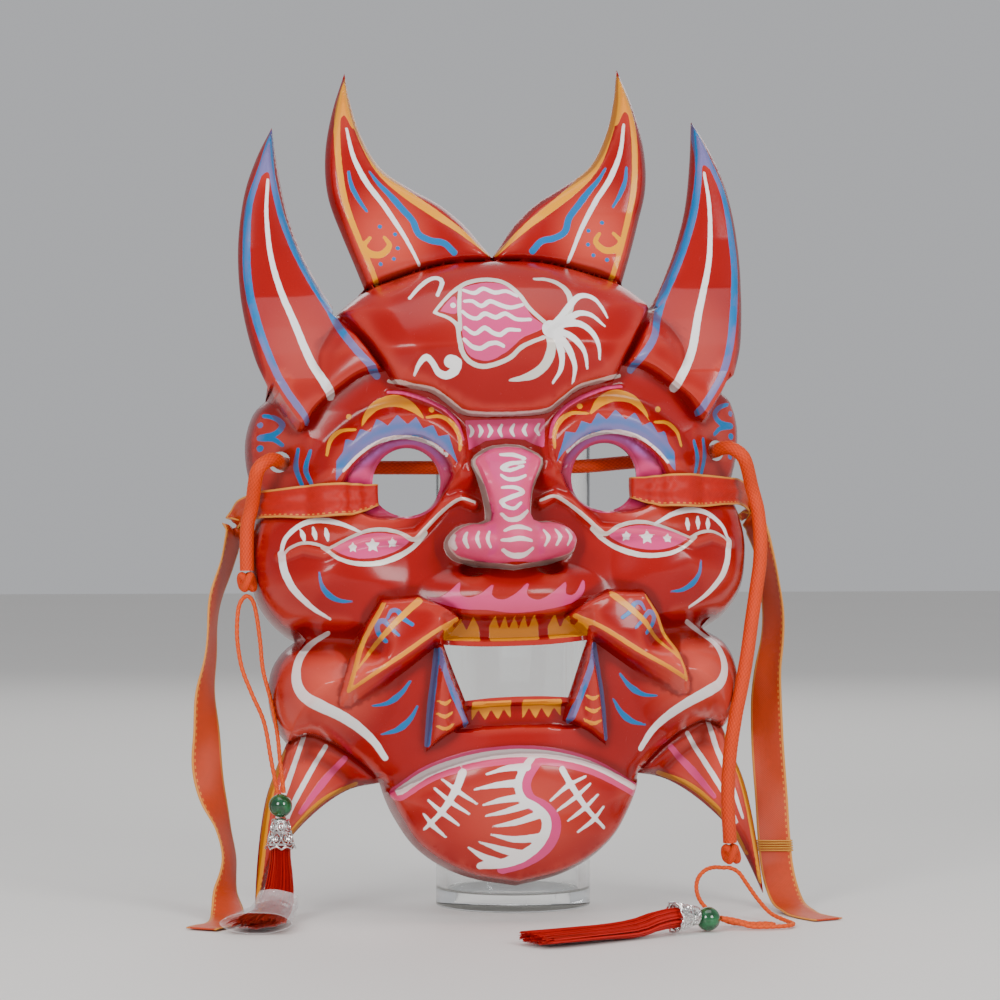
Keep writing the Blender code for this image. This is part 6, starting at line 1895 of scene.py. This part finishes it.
def add_light(name, power, size, place, aim):
    """A softbox at a place, turned to its aim."""
    lamp = bpy.data.lights.new(name, "AREA")
    lamp.shape = "RECTANGLE"
    lamp.size, lamp.size_y = size
    lamp.energy = power
    holder = bpy.data.objects.new(name, lamp)
    holder.location = place
    holder.rotation_euler = (Vector(aim) - Vector(place)).to_track_quat("-Z", "Y").to_euler()
    bpy.context.scene.collection.objects.link(holder)


def make_stage(stage):
    """Pale floor, softboxes, grey surround and the camera."""
    shape = bmesh.new()
    bmesh.ops.create_grid(shape, x_segments=1, y_segments=1, size=stage.floor_size / 2)
    floor = place_shape("floor", shape, pale_floor(stage.floor))
    for name, share, size, place in SOFTBOXES:
        add_light(name, stage.light_power * share, size, place, MASK_ORIGIN)
    world = bpy.data.worlds.new("studio")
    world.use_nodes = True
    world.node_tree.nodes["Background"].inputs["Color"].default_value = (*stage.surround, 1.0)
    world.node_tree.nodes["Background"].inputs["Strength"].default_value = stage.surround_strength
    bpy.context.scene.world = world
    view = bpy.data.cameras.new("camera")
    view.lens = CAMERA_LENS
    view.sensor_width = CAMERA_SENSOR
    camera = bpy.data.objects.new("camera", view)
    camera.location = CAMERA_PLACE
    camera.rotation_euler = [math.radians(turn) for turn in CAMERA_TURN]
    bpy.context.scene.collection.objects.link(camera)
    bpy.context.scene.camera = camera


# Settings, operators and panel

def colour_setting(name, description, default):
    return bpy.props.FloatVectorProperty(name=name, description=description, default=default,
                                         subtype="COLOR", size=3, min=0.0, max=1.0)


class NuoPaint(bpy.types.PropertyGroup):
    """Colours of the moulded mask."""
    base: colour_setting("Base", "Red of the moulded plastic", (0.37, 0.0015, 0.001))
    # Salmon: partly airbrush and partly painted highlight on the swelling forms, and painted highlight with
    # wear on the brinks
    salmon: colour_setting("Salmon", "Airbrushed paleness over the swelling forms", (0.80, 0.11, 0.07))
    lilac: colour_setting("Lilac", "Shade under the brow", (0.30, 0.16, 0.60))
    pink: colour_setting("Pink", "Nose, moustache, fish and leaf", (0.76, 0.055, 0.22))
    blue: colour_setting("Blue", "Horn borders, brow flames and leaves", (0.001, 0.17, 0.46))
    gold: colour_setting("Gold", "Inner horns, tusks, teeth and fins", (0.90, 0.35, 0.001))
    silver: colour_setting("Silver", "Fine outlines", (0.80, 0.74, 0.66))
    white: colour_setting("White", "Bright strokes", (0.97, 0.95, 0.93))


class NuoTrim(bpy.types.PropertyGroup):
    """Colours and make of the cord, tassels and ribbons."""
    cord: colour_setting("Cord", "Braided face cord", (0.76, 0.05, 0.001))
    thread: colour_setting("Thin cord", "Loops that carry the tassels", (0.80, 0.085, 0.006))
    silk: colour_setting("Silk", "Tassel threads", (0.52, 0.006, 0.003))
    satin: colour_setting("Satin", "Ribbons", (0.52, 0.008, 0.002))
    hem: colour_setting("Hem", "Stitching and gold band", (0.88, 0.44, 0.07))
    jade: colour_setting("Jade", "Beads", (0.010, 0.15, 0.045))
    plate: colour_setting("Plate", "Openwork caps", (0.86, 0.86, 0.85))
    film: colour_setting("Film", "Sleeve round the left tassel", (0.92, 0.90, 0.90))
    strands: bpy.props.IntProperty(name="Strands", description="Strands seen round the braided cord",
                                   default=12, min=4, max=16)
    threads: bpy.props.IntProperty(name="Threads", description="Threads in each tassel",
                                   default=430, min=50, max=900)


class NuoStage(bpy.types.PropertyGroup):
    """Floor and light."""
    floor: colour_setting("Floor", "Pale floor", (0.78, 0.76, 0.73))
    surround: colour_setting("Surround", "Grey of the studio", (0.80, 0.81, 0.84))
    floor_size: bpy.props.FloatProperty(name="Floor size", description="Side of the square floor",
                                        default=8.0, min=1.0, unit="LENGTH")
    light_power: bpy.props.FloatProperty(name="Light power", description="Power of the left softbox",
                                         default=10.5, min=0.0, unit="POWER")
    surround_strength: bpy.props.FloatProperty(name="Surround strength",
                                               description="Brightness of the surround",
                                               default=0.6, min=0.0, max=5.0, subtype="FACTOR")


class NUO_OT_stage(bpy.types.Operator):
    """Lay the floor and set the softboxes and the camera"""
    bl_idname = "nuo.stage"
    bl_label = "Stage"

    def execute(self, context):
        make_groups()
        make_stage(context.scene.nuo_stage)
        return {"FINISHED"}


class NUO_OT_face_cord(bpy.types.Operator):
    """Braid the cord through the ears and tie its knots"""
    bl_idname = "nuo.face_cord"
    bl_label = "Face cord"

    def execute(self, context):
        make_face_cord(context.scene.nuo_trim)
        return {"FINISHED"}


class NUO_OT_tassels(bpy.types.Operator):
    """Make both tassels with their thin cords, beads, caps, silk and film"""
    bl_idname = "nuo.tassels"
    bl_label = "Tassels"

    def execute(self, context):
        make_tassels(context.scene.nuo_trim)
        return {"FINISHED"}


class NUO_OT_mask_skin(bpy.types.Operator):
    """Mould the mask and paint its ornament"""
    bl_idname = "nuo.mask_skin"
    bl_label = "Mask"

    def execute(self, context):
        make_mask_skin(context.scene.nuo_paint)
        return {"FINISHED"}


class NUO_OT_ribbons(bpy.types.Operator):
    """Lay the satin ribbons over the cheeks, with the gold band"""
    bl_idname = "nuo.ribbons"
    bl_label = "Ribbons"

    def execute(self, context):
        make_ribbons(context.scene.nuo_trim)
        return {"FINISHED"}


class NUO_OT_clear_stand(bpy.types.Operator):
    """Turn the clear stand"""
    bl_idname = "nuo.clear_stand"
    bl_label = "Stand"

    def execute(self, context):
        make_clear_stand()
        return {"FINISHED"}


OPERATORS = (NUO_OT_stage, NUO_OT_face_cord, NUO_OT_tassels, NUO_OT_mask_skin, NUO_OT_ribbons,
             NUO_OT_clear_stand)


class NUO_PT_panel(bpy.types.Panel):
    """Lists the pieces and their settings"""
    bl_idname = "NUO_PT_panel"
    bl_label = "Nuo mask"
    bl_space_type = "VIEW_3D"
    bl_region_type = "UI"
    bl_category = "Nuo mask"

    def draw(self, context):
        for operator in OPERATORS:
            self.layout.operator(operator.bl_idname)
        for settings in (context.scene.nuo_paint, context.scene.nuo_trim, context.scene.nuo_stage):
            column = self.layout.box().column()
            for name in settings.__annotations__:
                column.prop(settings, name)


SETTINGS = (("nuo_paint", NuoPaint), ("nuo_trim", NuoTrim), ("nuo_stage", NuoStage))


def register():
    for _, group in SETTINGS:
        bpy.utils.register_class(group)
    for name, group in SETTINGS:
        setattr(bpy.types.Scene, name, bpy.props.PointerProperty(type=group))
    for panel_or_operator in OPERATORS + (NUO_PT_panel,):
        bpy.utils.register_class(panel_or_operator)


def unregister():
    for panel_or_operator in (NUO_PT_panel,) + OPERATORS[::-1]:
        bpy.utils.unregister_class(panel_or_operator)
    for name, group in SETTINGS[::-1]:
        delattr(bpy.types.Scene, name)
        bpy.utils.unregister_class(group)


def main():
    register()
    bpy.ops.nuo.stage()
    bpy.ops.nuo.face_cord()
    bpy.ops.nuo.tassels()
    bpy.ops.nuo.mask_skin()
    bpy.ops.nuo.ribbons()
    bpy.ops.nuo.clear_stand()


if __name__ == "__main__":
    main()
